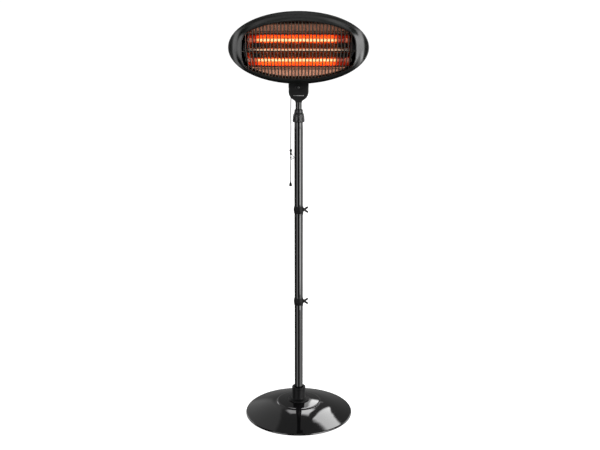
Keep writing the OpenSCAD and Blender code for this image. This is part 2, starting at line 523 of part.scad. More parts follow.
// one welded grille: an oval strip, upright wires and three cross wires
module wire_guard() color([0.1, 0.1, 0.1]) union() {
  difference() {
    plate_xz(flat2(ga + 1.6, gb + 1.6, gc, hn, gl + 1.6), gy - 1.4, gy + 1.4);
    plate_xz(flat2(ga - 1.6, gb - 1.6, gc, hn, gl - 1.6), gy - 2, gy + 2);
  }
  for (i = [-wires:wires]) {
    xt = i * wire_pitch;
    xb = i * wire_pitch * 0.94;
    p0 = [xb, gy, gc - reach(xb)];
    p1 = [xt, gy, gc + reach(xt)];
    translate(p0) rotate([0, atan2(p1[0] - p0[0], p1[2] - p0[2]), 0]) rotate([0, 0, 22.5]) cylinder(r = wr, h = norm(p1 - p0), $fn = 8);
  }
  for (p = [[54.7, gl - 10], [-4.1, gl - 0.6], [-56.1, gl - 10]])
    translate([-p[1], gy + 1.7 * wr, lamp_z + p[0]]) rotate([0, 90, 0]) rotate([0, 0, 22.5]) cylinder(r = wr, h = 2 * p[1], $fn = 8);
}

// ---- wiring and cable entry ------------------------------------------------
module terminal_block() color([0.88, 0.86, 0.8]) difference() {
  translate([-16, -22.9, lamp_z - 42]) cube([32, 14, 84]);
  for (k = [-3:3]) bar_y(2.5, -18, 0, 8, lamp_z + k * 11.5);
  for (k = [-3:3]) bar_y(2.5, -18, 0, -8, lamp_z + k * 11.5);
}
module head_wiring() color([0.75, 0.72, 0.65]) for (s = [-1, 1], k = [-1:1]) union() {
  bar_y(1.2, -43.4, -15, s * 184, lamp_z + k * lamp_pitch);
  bar_x(0.9, s > 0 ? 16.1 : -184, s > 0 ? 184 : -16.1, -16, lamp_z + k * lamp_pitch);
}
gland_x = 66;
gland_z = 1384;
module cord_gland() color([0.08, 0.08, 0.08]) difference() {
  union() {
    bar_y(7, 13, 22.3, gland_x, gland_z);
    translate([gland_x, 22.2, gland_z]) rotate([-90, 0, 0]) cylinder(r = 10, h = 6, $fn = 6);
    translate([gland_x, 28.2, gland_z]) rotate([-90, 0, 0]) cylinder(r1 = 8.6, r2 = 6, h = 12);
  }
  bar_y(3.6, 10, 45, gland_x, gland_z);
}
module gland_nut() color([0.08, 0.08, 0.08]) difference() {
  translate([gland_x, 14.6, gland_z]) rotate([-90, 0, 0]) cylinder(r = 10.5, h = 5, $fn = 6);
  bar_y(7.02, 10, 25, gland_x, gland_z);
}

rubber_feet();
base_tray();
base_weight();
base_cover();
base_bolt();
base_washer();
pole_socket();
pole_insert();
lower_tube();
middle_tube();
upper_tube();
lower_clamp();
upper_clamp();
clamp_nuts();
lower_wing_screw();
upper_wing_screw();
guide_ferrule();
grip_collet();
lock_collar();
mast_tube();
mast_stop_ring();
neck_front();
neck_rear();
neck_screws();
recess_screw();
badge_bar();
pivot_bush();
switch_body();
cord_grommet();
tip_over_switch();
neck_wiring();
switch_lever();
pull_cord_upper();
cord_connector();
pull_cord_lower();
cord_tail();
cord_knot();
pull_knob();
tilt_yoke();
yoke_screws();
tilt_bolt();
tilt_knob();
tilt_washers();
bezel();
bezel_clips();
back_shell();
heat_shield();
reflector();
reflector_ends();
quartz_tubes();
hot_filaments();
cold_filament();
lamp_caps();
lamp_supports();
wire_guard();
terminal_block();
head_wiring();
cord_gland();
gland_nut();
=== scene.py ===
import json
import math
import bpy
import bmesh
from mathutils import Vector, Matrix


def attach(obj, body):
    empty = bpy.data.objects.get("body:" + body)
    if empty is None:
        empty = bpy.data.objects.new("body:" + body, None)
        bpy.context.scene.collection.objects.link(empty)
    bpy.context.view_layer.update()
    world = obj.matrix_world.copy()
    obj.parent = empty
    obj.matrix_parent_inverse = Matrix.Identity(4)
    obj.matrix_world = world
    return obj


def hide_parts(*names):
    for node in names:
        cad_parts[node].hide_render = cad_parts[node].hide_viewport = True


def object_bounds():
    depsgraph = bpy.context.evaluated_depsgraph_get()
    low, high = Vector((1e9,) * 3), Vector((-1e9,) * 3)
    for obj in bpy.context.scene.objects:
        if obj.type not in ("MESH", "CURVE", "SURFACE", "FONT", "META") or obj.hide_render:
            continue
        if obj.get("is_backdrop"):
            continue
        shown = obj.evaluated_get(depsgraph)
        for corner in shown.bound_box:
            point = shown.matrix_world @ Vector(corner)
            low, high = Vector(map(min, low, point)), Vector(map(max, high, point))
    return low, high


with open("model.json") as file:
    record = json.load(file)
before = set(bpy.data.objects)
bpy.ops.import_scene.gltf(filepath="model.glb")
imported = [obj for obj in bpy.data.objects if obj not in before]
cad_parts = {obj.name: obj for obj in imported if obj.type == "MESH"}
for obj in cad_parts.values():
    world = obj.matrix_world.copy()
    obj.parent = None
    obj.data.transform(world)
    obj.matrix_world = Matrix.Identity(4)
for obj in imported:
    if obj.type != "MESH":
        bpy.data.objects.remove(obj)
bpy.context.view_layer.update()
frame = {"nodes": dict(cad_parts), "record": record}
scene = bpy.context.scene
MM = 0.001
TAU = 2 * math.pi

# ---------------------------------------------------------------- camera
cam_data = bpy.data.cameras.new("camera")
cam_data.lens = 45.9
cam_data.sensor_width = 36.0
camera = bpy.data.objects.new("camera", cam_data)
scene.collection.objects.link(camera)
camera.location = (0.005, -2.819, 1.356)
camera.rotation_euler = (math.radians(78.0), 0.0, 0.0)
scene.camera = camera
scene.view_settings.view_transform = "Standard"

# ---------------------------------------------------------------- node helpers


class Net:
    """Small helper that adds nodes and links them."""

    def __init__(self, tree):
        self.t = tree

    def node(self, kind, **props):
        n = self.t.nodes.new(kind)
        for k, v in props.items():
            setattr(n, k, v)
        return n

    def put(self, socket, value):
        if hasattr(value, "is_output"):
            self.t.links.new(value, socket)
        else:
            socket.default_value = value

    def math(self, op, a, b=None, clamp=False):
        n = self.node("ShaderNodeMath", operation=op, use_clamp=clamp)
        self.put(n.inputs[0], a)
        if b is not None:
            self.put(n.inputs[1], b)
        return n.outputs[0]

    def ramp(self, value, lo, hi, a=0.0, b=1.0, smooth=False):
        n = self.node("ShaderNodeMapRange", interpolation_type="SMOOTHSTEP" if smooth else "LINEAR", clamp=True)
        self.put(n.inputs["Value"], value)
        n.inputs["From Min"].default_value = lo
        n.inputs["From Max"].default_value = hi
        n.inputs["To Min"].default_value = a
        n.inputs["To Max"].default_value = b
        return n.outputs["Result"]

    def colors(self, value, stops):
        n = self.node("ShaderNodeValToRGB")
        cr = n.color_ramp
        while len(cr.elements) < len(stops):
            cr.elements.new(0.5)
        for e, (p, c) in zip(cr.elements, stops):
            e.position = p
            e.color = (*c, 1.0)
        self.put(n.inputs["Fac"], value)
        return n.outputs["Color"]

    def noise(self, vector, scale, detail=3.0, rough=0.55, stretch=None):
        if stretch is not None:
            m = self.node("ShaderNodeMapping")
            self.put(m.inputs["Vector"], vector)
            m.inputs["Scale"].default_value = stretch
            vector = m.outputs["Vector"]
        n = self.node("ShaderNodeTexNoise")
        self.put(n.inputs["Vector"], vector)
        n.inputs["Scale"].default_value = scale
        n.inputs["Detail"].default_value = detail
        n.inputs["Roughness"].default_value = rough
        return n.outputs["Fac"]

    def bump(self, height, strength, distance, normal=None):
        n = self.node("ShaderNodeBump")
        self.put(n.inputs["Height"], height)
        n.inputs["Strength"].default_value = strength
        n.inputs["Distance"].default_value = distance
        if normal is not None:
            self.put(n.inputs["Normal"], normal)
        return n.outputs["Normal"]


def shade(c, k):
    return tuple(max(0.0, min(1.0, x * k)) for x in c)


def material(name, base, rough, metal=0.0, coat=0.0, coat_rough=0.05, specular=0.5, var=0.15, var_scale=45.0,
             rough_var=0.06, grain=0.15, grain_scale=1400.0, grain_depth=0.00012, stretch=None, sheen=0.0, extra=None):
    """Principled material whose colour, roughness and relief all come from layered noise."""
    m = bpy.data.materials.new(name)
    m.use_nodes = True
    t = m.node_tree
    t.nodes.clear()
    n = Net(t)
    out = n.node("ShaderNodeOutputMaterial")
    p = n.node("ShaderNodeBsdfPrincipled")
    t.links.new(p.outputs[0], out.inputs["Surface"])
    co = n.node("ShaderNodeTexCoord").outputs["Object"]
    broad = n.noise(co, var_scale, 4.0, 0.6, stretch)
    fine = n.noise(co, var_scale * 7.0, 3.0, 0.5, stretch)
    both = n.math("ADD", n.math("MULTIPLY", broad, 0.65), n.math("MULTIPLY", fine, 0.35))
    col = n.colors(both, [(0.3, shade(base, 1 - var)), (0.5, base), (0.72, shade(base, 1 + var))])
    t.links.new(col, p.inputs["Base Color"])
    r = n.ramp(both, 0.3, 0.7, max(0.0, rough - rough_var), min(1.0, rough + rough_var))
    t.links.new(r, p.inputs["Roughness"])
    p.inputs["Metallic"].default_value = metal
    p.inputs["Specular IOR Level"].default_value = specular
    p.inputs["Coat Weight"].default_value = coat
    p.inputs["Coat Roughness"].default_value = coat_rough
    if sheen:
        p.inputs["Sheen Weight"].default_value = sheen
        p.inputs["Sheen Roughness"].default_value = 0.4
    h = n.noise(co, grain_scale, 2.0, 0.5, stretch)
    normal = n.bump(h, grain, grain_depth)
    if extra is not None:
        normal = extra(n, p, co, normal, both) or normal
    t.links.new(normal, p.inputs["Normal"])
    return m


def orange_peel(n, p, co, normal, both):
    """Long soft waves of a thick enamel, in the clear coat too."""
    wave = n.noise(co, 120.0, 1.0, 0.4)
    out = n.bump(wave, 0.012, 0.0006, normal)
    n.t.links.new(n.bump(wave, 0.01, 0.0006), p.inputs["Coat Normal"])
    return out


def powder(n, p, co, normal, both):
    v = n.node("ShaderNodeTexVoronoi", feature="SMOOTH_F1")
    n.put(v.inputs["Vector"], co)
    v.inputs["Scale"].default_value = 900.0
    return n.bump(v.outputs["Distance"], 0.12, 0.0002, normal)


def dimples_and_painted_glow(n, p, co, normal, both):
    """Stucco-rolled sheet: small round dents, and painted glow: the sheet's colour is tinted red-copper to stand in for
    the lamps' glow reflected in it, deepest on the part behind the lamps.
    """
    sep = n.node("ShaderNodeSeparateXYZ")
    n.put(sep.inputs[0], n.node("ShaderNodeTexCoord").outputs["Generated"])
    z = sep.outputs["Z"]
    # painted glow: a band across the middle of the sheet, behind the lamps, gets a deeper red that stands in for the
    # lamps' light on it
    painted_glow_band = n.math("MULTIPLY", n.ramp(z, 0.16, 0.24, 0.0, 1.0, True), n.ramp(z, 0.76, 0.84, 1.0, 0.0, True))
    mix = n.node("ShaderNodeMix", data_type="RGBA")
    n.put(mix.inputs[0], painted_glow_band)
    # both colours are red-copper tints, painted glow of the lamps in place of the pale grey of bare aluminium
    n.put(mix.inputs[6], n.colors(both, [(0.3, (0.74, 0.34, 0.22)), (0.72, (0.84, 0.40, 0.26))]))
    n.put(mix.inputs[7], n.colors(both, [(0.3, (0.68, 0.18, 0.065)), (0.72, (0.80, 0.21, 0.08))]))
    n.t.links.new(mix.outputs[2], p.inputs["Base Color"])
    v = n.node("ShaderNodeTexVoronoi", feature="SMOOTH_F1")
    n.put(v.inputs["Vector"], co)
    v.inputs["Scale"].default_value = 330.0
    return n.bump(v.outputs["Distance"], 0.32, 0.0009, normal)


def painted_reflected_glow(n, p, co, normal, both):
    """Painted glow: the unlit coil is given a weak pale emission that stands in for the light it picks up from the
    lamps above and below it.
    """
    p.inputs["Emission Color"].default_value = (1.0, 0.80, 0.52, 1.0)
    p.inputs["Emission Strength"].default_value = 0.55


def braid(n, p, co, normal, both):
    """Plaited sleeve: two crossing sets of strands."""
    a = n.node("ShaderNodeTexWave", wave_type="BANDS", bands_direction="DIAGONAL")
    n.put(a.inputs["Vector"], co)
    a.inputs["Scale"].default_value = 260.0
    m = n.node("ShaderNodeMapping")
    n.put(m.inputs["Vector"], co)
    m.inputs["Scale"].default_value = (-1.0, 1.0, 1.0)
    b = n.node("ShaderNodeTexWave", wave_type="BANDS", bands_direction="DIAGONAL")
    n.put(b.inputs["Vector"], m.outputs["Vector"])
    b.inputs["Scale"].default_value = 260.0
    w = n.math("MAXIMUM", a.outputs["Fac"], b.outputs["Fac"])
    n.t.links.new(n.colors(w, [(0.0, (0.010, 0.010, 0.010)), (0.55, (0.024, 0.024, 0.024)), (1.0, (0.042, 0.042, 0.041))]), p.inputs["Base Color"])
    return n.bump(w, 0.7, 0.0003, normal)


def turned(n, p, co, normal, both):
    """Fine concentric tool marks on machined or plated metal."""
    lines = n.noise(co, 60.0, 2.0, 0.6, (1.0, 1.0, 40.0))
    return n.bump(lines, 0.08, 0.0002, normal)


def painted_glow_ends(n, p, co, normal, both):
    """Painted glow: the mouths of the caps beside the two lit coils get a dull red emission that stands in for the
    lamps' light on them.
    """
    sep = n.node("ShaderNodeSeparateXYZ")
    n.put(sep.inputs[0], co)
    near = n.ramp(n.math("ABSOLUTE", sep.outputs["X"]), 0.166, 0.186, 1.0, 0.0, True)
    lamp = n.ramp(n.math("ABSOLUTE", n.math("SUBTRACT", sep.outputs["Z"], 1.398)), 0.018, 0.024, 0.0, 1.0, True)
    # painted glow: dull red emission on the cap mouths near the lit lamps' ends, in place of the lamps' light on the
    # ceramic
    glow_level = n.math("MULTIPLY", n.math("MULTIPLY", near, lamp), n.ramp(both, 0.3, 0.7, 0.7, 1.1))
    n.t.links.new(n.colors(glow_level, [(0.0, (0.25, 0.01, 0.002)), (1.0, (0.85, 0.12, 0.02))]), p.inputs["Emission Color"])
    n.t.links.new(n.math("MULTIPLY", glow_level, 0.55), p.inputs["Emission Strength"])
    return normal


def aggregate(n, p, co, normal, both):
    v = n.node("ShaderNodeTexVoronoi", feature="F1")
    n.put(v.inputs["Vector"], co)
    v.inputs["Scale"].default_value = 160.0
    return n.bump(v.outputs["Distance"], 0.4, 0.001, normal)


MAT = {
    "gloss_black": material("gloss_black", (0.004, 0.004, 0.0043), 0.05, coat=0.5, coat_rough=0.02, var=0.3, var_scale=14.0,
                            rough_var=0.015, grain=0.05, grain_scale=900.0, extra=orange_peel),
    "pole_black": material("pole_black", (0.0045, 0.0045, 0.0048), 0.11, coat=0.3, coat_rough=0.05, var=0.3, var_scale=20.0,
                           rough_var=0.03, grain=0.05, grain_scale=500.0, stretch=(1.0, 1.0, 0.12)),
    "head_grey": material("head_grey", (0.0085, 0.0093, 0.0085), 0.22, specular=0.55, var=0.16, var_scale=30.0, rough_var=0.04,
                          grain=0.10, grain_scale=1500.0, extra=powder),
    "head_black": material("head_black", (0.010, 0.0102, 0.0105), 0.38, var=0.18, var_scale=30.0, grain=0.14,
                           grain_scale=1500.0, extra=powder),
    "guard_black": material("guard_black", (0.045, 0.040, 0.035), 0.34, metal=1.0, var=0.22, var_scale=70.0, rough_var=0.08, grain=0.1,
                            grain_scale=900.0),
    "screw_dim": material("screw_dim", (0.12, 0.12, 0.12), 0.38, metal=0.9, var=0.15, var_scale=160.0, rough_var=0.1, grain=0.1,
                          grain_scale=700.0, extra=turned),
    "clamp_black": material("clamp_black", (0.0042, 0.0042, 0.0044), 0.5, specular=0.2, var=0.2, var_scale=60.0, grain=0.25,
                            grain_scale=1600.0, grain_depth=0.00015),
    "black_plastic": material("black_plastic", (0.0042, 0.0042, 0.0044), 0.27, specular=0.45, var=0.2, var_scale=60.0, grain=0.25,
                              grain_scale=1600.0, grain_depth=0.00015),
    "neck_plastic": material("neck_plastic", (0.0085, 0.0088, 0.009), 0.40, specular=0.4, var=0.2, var_scale=55.0, grain=0.35,
                             grain_scale=1700.0, grain_depth=0.00018),
    "rubber": material("rubber", (0.011, 0.011, 0.011), 0.72, var=0.25, var_scale=80.0, grain=0.3, grain_scale=900.0),
    "concrete": material("concrete", (0.42, 0.41, 0.39), 0.9, var=0.22, var_scale=70.0, grain=0.6, grain_scale=500.0,
                         grain_depth=0.0004, extra=aggregate),
    "zinc_steel": material("zinc_steel", (0.52, 0.53, 0.55), 0.32, metal=1.0, var=0.12, var_scale=160.0, rough_var=0.1,
                           grain=0.1, grain_scale=700.0, extra=turned),
    "brass": material("brass", (0.72, 0.52, 0.24), 0.3, metal=1.0, var=0.12, var_scale=140.0, extra=turned),
    "nylon": material("nylon", (0.74, 0.72, 0.66), 0.5, var=0.06, var_scale=60.0, grain=0.2),
    "pale_metal": material("pale_metal", (0.46, 0.46, 0.46), 0.36, metal=1.0, var=0.1, var_scale=240.0, rough_var=0.08,
                           grain=0.12, grain_scale=500.0, stretch=(0.1, 1.0, 1.0)),
    "wire_sleeve": material("wire_sleeve", (0.58, 0.53, 0.44), 0.8, var=0.2, var_scale=300.0, grain=0.5, grain_scale=900.0),
    "cord": material("cord_grey", (0.03, 0.03, 0.03), 0.8, var=0.1, var_scale=300.0, grain=0.3, specular=0.15, extra=braid),
    "cord_black": material("cord_black", (0.0035, 0.0035, 0.0035), 0.45, specular=0.12, var=0.2, var_scale=90.0,
                           grain=0.08),
    # the reflector's reddish base is painted glow of the lamps on the aluminium; its extra function sets the colour
    # again
    "bright_aluminium": material("bright_aluminium", (0.66, 0.29, 0.18), 0.24, metal=1.0, var=0.06, var_scale=30.0,
                                 rough_var=0.06, grain=0.05, grain_scale=500.0, extra=dimples_and_painted_glow),
    "ceramic": material("ceramic", (0.62, 0.59, 0.52), 0.62, var=0.12, var_scale=120.0, grain=0.35, grain_scale=1100.0),
    # the dull red at the lamp caps' mouths is painted glow from the lamps, not heat of the ceramic
    "ceramic_warm": material("ceramic_warm", (0.34, 0.31, 0.27), 0.62, var=0.12, var_scale=120.0, grain=0.35, grain_scale=1100.0,
                             extra=painted_glow_ends),
    "dark_steel": material("dark_steel", (0.055, 0.045, 0.038), 0.42, metal=0.85, var=0.4, var_scale=70.0, rough_var=0.12,
                           grain=0.15, grain_scale=700.0),
    # the unlit coil's pale emission is painted glow, standing in for light reflected from the lit lamps
    "filament_cold": material("filament_cold", (0.75, 0.68, 0.52), 0.28, metal=1.0, var=0.25, var_scale=300.0, grain=0.1,
                              extra=painted_reflected_glow),
}


def heat_of(n, co, left, right, fade, low):
    """Heat along a lamp: full in the middle, falling to a red level beyond left and right."""
    sep = n.node("ShaderNodeSeparateXYZ")
    n.put(sep.inputs[0], co)
    x = sep.outputs["X"]
    a = n.ramp(x, -left - fade, -left + fade, 0.0, 1.0, True)
    b = n.ramp(x, right - fade, right + fade, 1.0, 0.0, True)
    return n.math("MULTIPLY", a, b)


def lamp_glow(n, p, co, glow_level, seen, cast, seen_power, cast_power, floor_level):
    """The eye gets the cream-coloured glow, the parts around get the deep red heat."""
    lp = n.node("ShaderNodeLightPath")
    mottling = n.noise(co, 110.0, 3.0, 0.6)
    h = n.math("ADD", glow_level, n.math("MULTIPLY", n.math("SUBTRACT", mottling, 0.5), 0.25), True)
    mix = n.node("ShaderNodeMix", data_type="RGBA")
    n.put(mix.inputs[0], lp.outputs["Is Camera Ray"])
    n.put(mix.inputs[6], n.colors(h, cast))
    n.put(mix.inputs[7], n.colors(h, seen))
    n.t.links.new(mix.outputs[2], p.inputs["Emission Color"])
    pw = n.node("ShaderNodeMix", data_type="FLOAT")
    n.put(pw.inputs[0], lp.outputs["Is Camera Ray"])
    n.put(pw.inputs[2], n.ramp(h, 0.0, 1.0, cast_power * floor_level, cast_power))
    n.put(pw.inputs[3], n.ramp(h, 0.0, 1.0, seen_power * 0.55, seen_power))
    n.t.links.new(pw.outputs[0], p.inputs["Emission Strength"])


def hot_material(name):
    """Glowing resistance coil: cream in the middle, cooling to red at the ends."""
    m = bpy.data.materials.new(name)
    m.use_nodes = True
    t = m.node_tree
    n = Net(t)
    p = t.nodes["Principled BSDF"]
    co = n.node("ShaderNodeTexCoord").outputs["Object"]
    glow_level = heat_of(n, co, 0.146, 0.132, 0.012, 0.3)
    seen = [(0.0, (0.75, 0.05, 0.010)), (0.4, (1.0, 0.40, 0.08)), (0.7, (1.0, 0.95, 0.36)), (1.0, (1.0, 1.0, 0.55))]
    cast = [(0.0, (0.7, 0.03, 0.003)), (1.0, (1.0, 0.42, 0.10))]
    lamp_glow(n, p, co, glow_level, seen, cast, 1.6, 4.6, 0.12)
    mottling = n.noise(co, 90.0, 3.0, 0.6)
    t.links.new(n.colors(mottling, [(0.3, (0.08, 0.04, 0.03)), (0.7, (0.16, 0.08, 0.05))]), p.inputs["Base Color"])
    p.inputs["Roughness"].default_value = 0.6
    t.links.new(n.bump(n.noise(co, 900.0), 0.2, 0.0002), p.inputs["Normal"])
    return m


MAT["filament_hot"] = hot_material("filament_hot")


def quartz_material(name, tint, lit):
    """Clear tube wall: nearly see-through face on, bright along its edges, a soft haze of heat in the lit ones."""
    m = bpy.data.materials.new(name)
    m.use_nodes = True
    t = m.node_tree
    n = Net(t)
    p = t.nodes["Principled BSDF"]
    co = n.node("ShaderNodeTexCoord").outputs["Object"]
    streaks = n.noise(co, 60.0, 3.0, 0.6, (0.05, 1.0, 1.0))
    t.links.new(n.colors(streaks, [(0.3, shade(tint, 0.85)), (0.7, tint)]), p.inputs["Base Color"])
    t.links.new(n.ramp(streaks, 0.3, 0.7, 0.03, 0.10), p.inputs["Roughness"])
    lw = n.node("ShaderNodeLayerWeight")
    lw.inputs["Blend"].default_value = 0.35
    edge = n.ramp(lw.outputs["Facing"], 0.1, 1.0, 0.22 if lit else 0.12, 0.75 if lit else 0.6)
    t.links.new(n.math("ADD", edge, n.math("MULTIPLY", streaks, 0.06), True), p.inputs["Alpha"])
    p.inputs["Specular IOR Level"].default_value = 1.0
    p.inputs["Coat Weight"].default_value = 1.0
    p.inputs["Coat Roughness"].default_value = 0.03
    p.inputs["Coat IOR"].default_value = 1.9
    if lit:
        glow_level = heat_of(n, co, 0.150, 0.134, 0.016, 0.3)
        seen = [(0.0, (0.50, 0.03, 0.006)), (0.5, (1.0, 0.20, 0.03)), (1.0, (1.0, 0.60, 0.17))]
        cast = [(0.0, (0.7, 0.03, 0.003)), (1.0, (1.0, 0.24, 0.03))]
        lamp_glow(n, p, co, glow_level, seen, cast, 0.10, 3.8, 0.15)
    return m


MAT["quartz"] = quartz_material("quartz_clear", (0.62, 0.56, 0.52), False)
MAT["quartz_lit"] = quartz_material("quartz_lit", (0.5, 0.4, 0.3), True)

# ---------------------------------------------------------------- mesh helpers


class Kit:
    """Collects closed shells of one piece, in millimetres."""

    def __init__(self):
        self.v = []
        self.f = []

    def add(self, shell, move=None):
        verts, faces = shell
        o = len(self.v)
        if move is not None:
            verts = [move @ Vector(v) for v in verts]
        self.v += [tuple(v) for v in verts]
        self.f += [[i + o for i in f] for f in faces]
        return self


def build(name, shell, sharp=32.0):
    verts, faces = (shell.v, shell.f) if isinstance(shell, Kit) else shell
    me = bpy.data.meshes.new(name)
    me.from_pydata([tuple(c * MM for c in v) for v in verts], [], faces)
    bm = bmesh.new()
    bm.from_mesh(me)
    bmesh.ops.remove_doubles(bm, verts=bm.verts, dist=1e-7)
    bmesh.ops.recalc_face_normals(bm, faces=bm.faces)
    mark(bm, sharp)
    bm.to_mesh(me)
    bm.free()
    ob = bpy.data.objects.new(name, me)
    scene.collection.objects.link(ob)
    return ob


def mark(bm, sharp):
    for f in bm.faces:
        f.smooth = True
    for e in bm.edges:
        e.smooth = not (len(e.link_faces) == 2 and e.calc_face_angle(0.0) > math.radians(sharp))


def piece(ob, mat, body, nodes=(), bevel=None):
    ob.data.materials.clear()
    ob.data.materials.append(MAT[mat] if isinstance(mat, str) else mat)
    if bevel:
        b = ob.modifiers.new("edge", "BEVEL")
        b.width = bevel[0] * MM
        b.segments = bevel[1]
        b.limit_method = "ANGLE"
        b.angle_limit = math.radians(32)
        b.harden_normals = True
    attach(ob, body)
    if nodes:
        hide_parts(*nodes)
    return ob


def boolean(ob, cutter, op="DIFFERENCE", sharp=32.0):
    mod = ob.modifiers.new("cut", "BOOLEAN")
    mod.operation = op
    mod.solver = "EXACT"
    mod.object = cutter
    bpy.context.view_layer.update()
    dg = bpy.context.evaluated_depsgraph_get()
    me = bpy.data.meshes.new_from_object(ob.evaluated_get(dg))
    ob.modifiers.clear()
    old = ob.data
    ob.data = me
    bpy.data.meshes.remove(old)
    bpy.data.objects.remove(cutter, do_unlink=True)
    bm = bmesh.new()
    bm.from_mesh(me)
    bmesh.ops.remove_doubles(bm, verts=bm.verts, dist=2e-6)
    bmesh.ops.dissolve_degenerate(bm, edges=bm.edges, dist=1e-6)
    mark(bm, sharp)
    bm.to_mesh(me)
    bm.free()
    return ob


def even_light(ob):
    """Flat faces keep their own normal, so broad panels shade evenly up to their rounded edges."""
    m = ob.modifiers.new("normals", "WEIGHTED_NORMAL")
    m.keep_sharp = True
    m.weight = 100
    return ob


def swap(axis, p):
    x, y, z = p
    return (x, y, z) if axis == "z" else (z, x, y) if axis == "x" else (y, z, x)


def lathe(profile, seg=64, closed=False, axis="z", at=(0, 0, 0), radius=None):
    """Turns (r, z) points round an axis. closed joins the last point to the first. radius(t, r, z) may shape the ring."""
    verts, rings = [], []
    for r, z in profile:
        if r < 1e-6:
            rings.append([len(verts)])
            verts.append((0, 0, z))
        else:
            rings.append(list(range(len(verts), len(verts) + seg)))
            for k in range(seg):
                t = TAU * k / seg
                q = radius(t, r, z) if radius else r
                verts.append((q * math.cos(t), q * math.sin(t), z))
    faces = []
    pairs = list(zip(rings, rings[1:])) + ([(rings[-1], rings[0])] if closed else [])
    for a, b in pairs:
        for k in range(seg):
            j = (k + 1) % seg
            if len(a) == 1 and len(b) == 1:
                continue
            if len(a) == 1:
                faces.append([a[0], b[k], b[j]])
            elif len(b) == 1:
                faces.append([a[k], b[0], a[j]])
            else:
                faces.append([a[k], a[j], b[j], b[k]])
    if not closed:
        for r in (rings[0], rings[-1]):
            if len(r) > 1:
                faces.append(list(r))
    verts = [tuple(c + d for c, d in zip(swap(axis, v), at)) for v in verts]
    return verts, faces


def loft(rings, closed=False, caps=True):
    n = len(rings[0])
    verts = [tuple(p) for r in rings for p in r]
    m = len(rings)
    faces = []
    for j in range(m if closed else m - 1):
        a, b = j * n, ((j + 1) % m) * n
        for i in range(n):
            k = (i + 1) % n
            faces.append([a + i, a + k, b + k, b + i])
    if not closed and caps:
        faces.append(list(range(n)))
        faces.append(list(range((m - 1) * n, m * n)))
    return verts, faces


def tube(path, r, seg=10, caps=True):
    """Round tube along points, with frames carried along so that it doesn't twist."""
    pts = [Vector(p) for p in path]
    n = len(pts)
    tan = [(pts[min(i + 1, n - 1)] - pts[max(i - 1, 0)]).normalized() for i in range(n)]
    up = Vector((0, 0, 1)) if abs(tan[0].z) < 0.9 else Vector((0, 1, 0))
    u = (up - tan[0] * up.dot(tan[0])).normalized()
    rings = []
    for i in range(n):
        u = (u - tan[i] * u.dot(tan[i])).normalized()
        w = tan[i].cross(u)
        rad = r(i / (n - 1)) if callable(r) else r
        rings.append([tuple(pts[i] + (u * math.cos(TAU * k / seg) + w * math.sin(TAU * k / seg)) * rad) for k in range(seg)])
    return loft(rings, caps=caps)


def spline(points, k, closed=False):
    """Points of a smooth curve through the given ones, k for each stretch."""
    n = len(points)
    out = []
    for i in range(n if closed else n - 1):
        if closed:
            a, b, c, d = (points[(i + j) % n] for j in (-1, 0, 1, 2))
        else:
            a, b, c, d = points[max(i - 1, 0)], points[i], points[i + 1], points[min(i + 2, n - 1)]
        for s in range(k):
            t = s / k
            out.append(tuple(0.5 * ((2 * q) + (r - p) * t + (2 * p - 5 * q + 4 * r - e) * t * t + (3 * q - p - 3 * r + e) * t ** 3)
                             for p, q, r, e in zip(a, b, c, d)))
    if not closed:
        out.append(tuple(points[-1]))
    return out


def prism(outline, a0, a1, plane="xz"):
    """Outline of (u, v) points pushed from a0 to a1 along the plane's normal."""
    def at(u, v, a):
        return (u, a, v) if plane == "xz" else (a, u, v) if plane == "yz" else (u, v, a)
    return loft([[at(u, v, a) for u, v in outline] for a in (a0, a1)])


def block(x0, x1, y0, y1, z0, z1):
    return prism([(x0, z0), (x1, z0), (x1, z1), (x0, z1)], y0, y1)


def inset(outline, d):
    """Moves a closed outline inwards by d along its corner normals (outline runs anticlockwise)."""
    n = len(outline)
    out = []
    for i in range(n):
        a, b, c = Vector(outline[i - 1]), Vector(outline[i]), Vector(outline[(i + 1) % n])
        e, f = (b - a), (c - b)
        if e.length < 1e-9 or f.length < 1e-9:
            out.append(tuple(b))
            continue
        e.normalize()
        f.normalize()
        na, nb = Vector((-e.y, e.x)), Vector((-f.y, f.x))
        m = (na + nb)
        m = m / max(0.4, m.length_squared / 2)
        out.append(tuple(b + m * d))
    return out


def soft(x, lim, k=14):
    return 0.0 if abs(x) < 0.001 else math.copysign((abs(x) ** -k + lim ** -k) ** (-1.0 / k), x)


def oval(a, b, y, z, n, lim=1e5):
    return [(soft(a * math.cos(TAU * i / n), lim), y, z + b * math.sin(TAU * i / n)) for i in range(n)]


def pan_head(x, z, y, r, h, seg=32):
    """Screw head on a face that looks along Y; h is signed."""
    return lathe([(r, y), (r, y + h * 0.35), (r * 0.92, y + h * 0.72), (r * 0.68, y + h * 0.93), (0.0, y + h)], seg, axis="y", at=(x, 0, z)) \
        if False else turn_y([(r, 0), (r, h * 0.35), (r * 0.92, h * 0.72), (r * 0.68, h * 0.93), (0.0, h)], x, y, z, seg)


def turn_y(profile, x, y, z, seg=32):
    """(r, h) points turned round a line along Y through (x, z), h measured from y."""
    v, f = lathe(profile, seg)
    return [(x + p[0], y + p[2], z + p[1]) for p in v], f


def turn_x(profile, x, y, z, seg=32, radius=None):
    v, f = lathe(profile, seg, radius=radius)
    return [(x + p[2], y + p[0], z + p[1]) for p in v], f


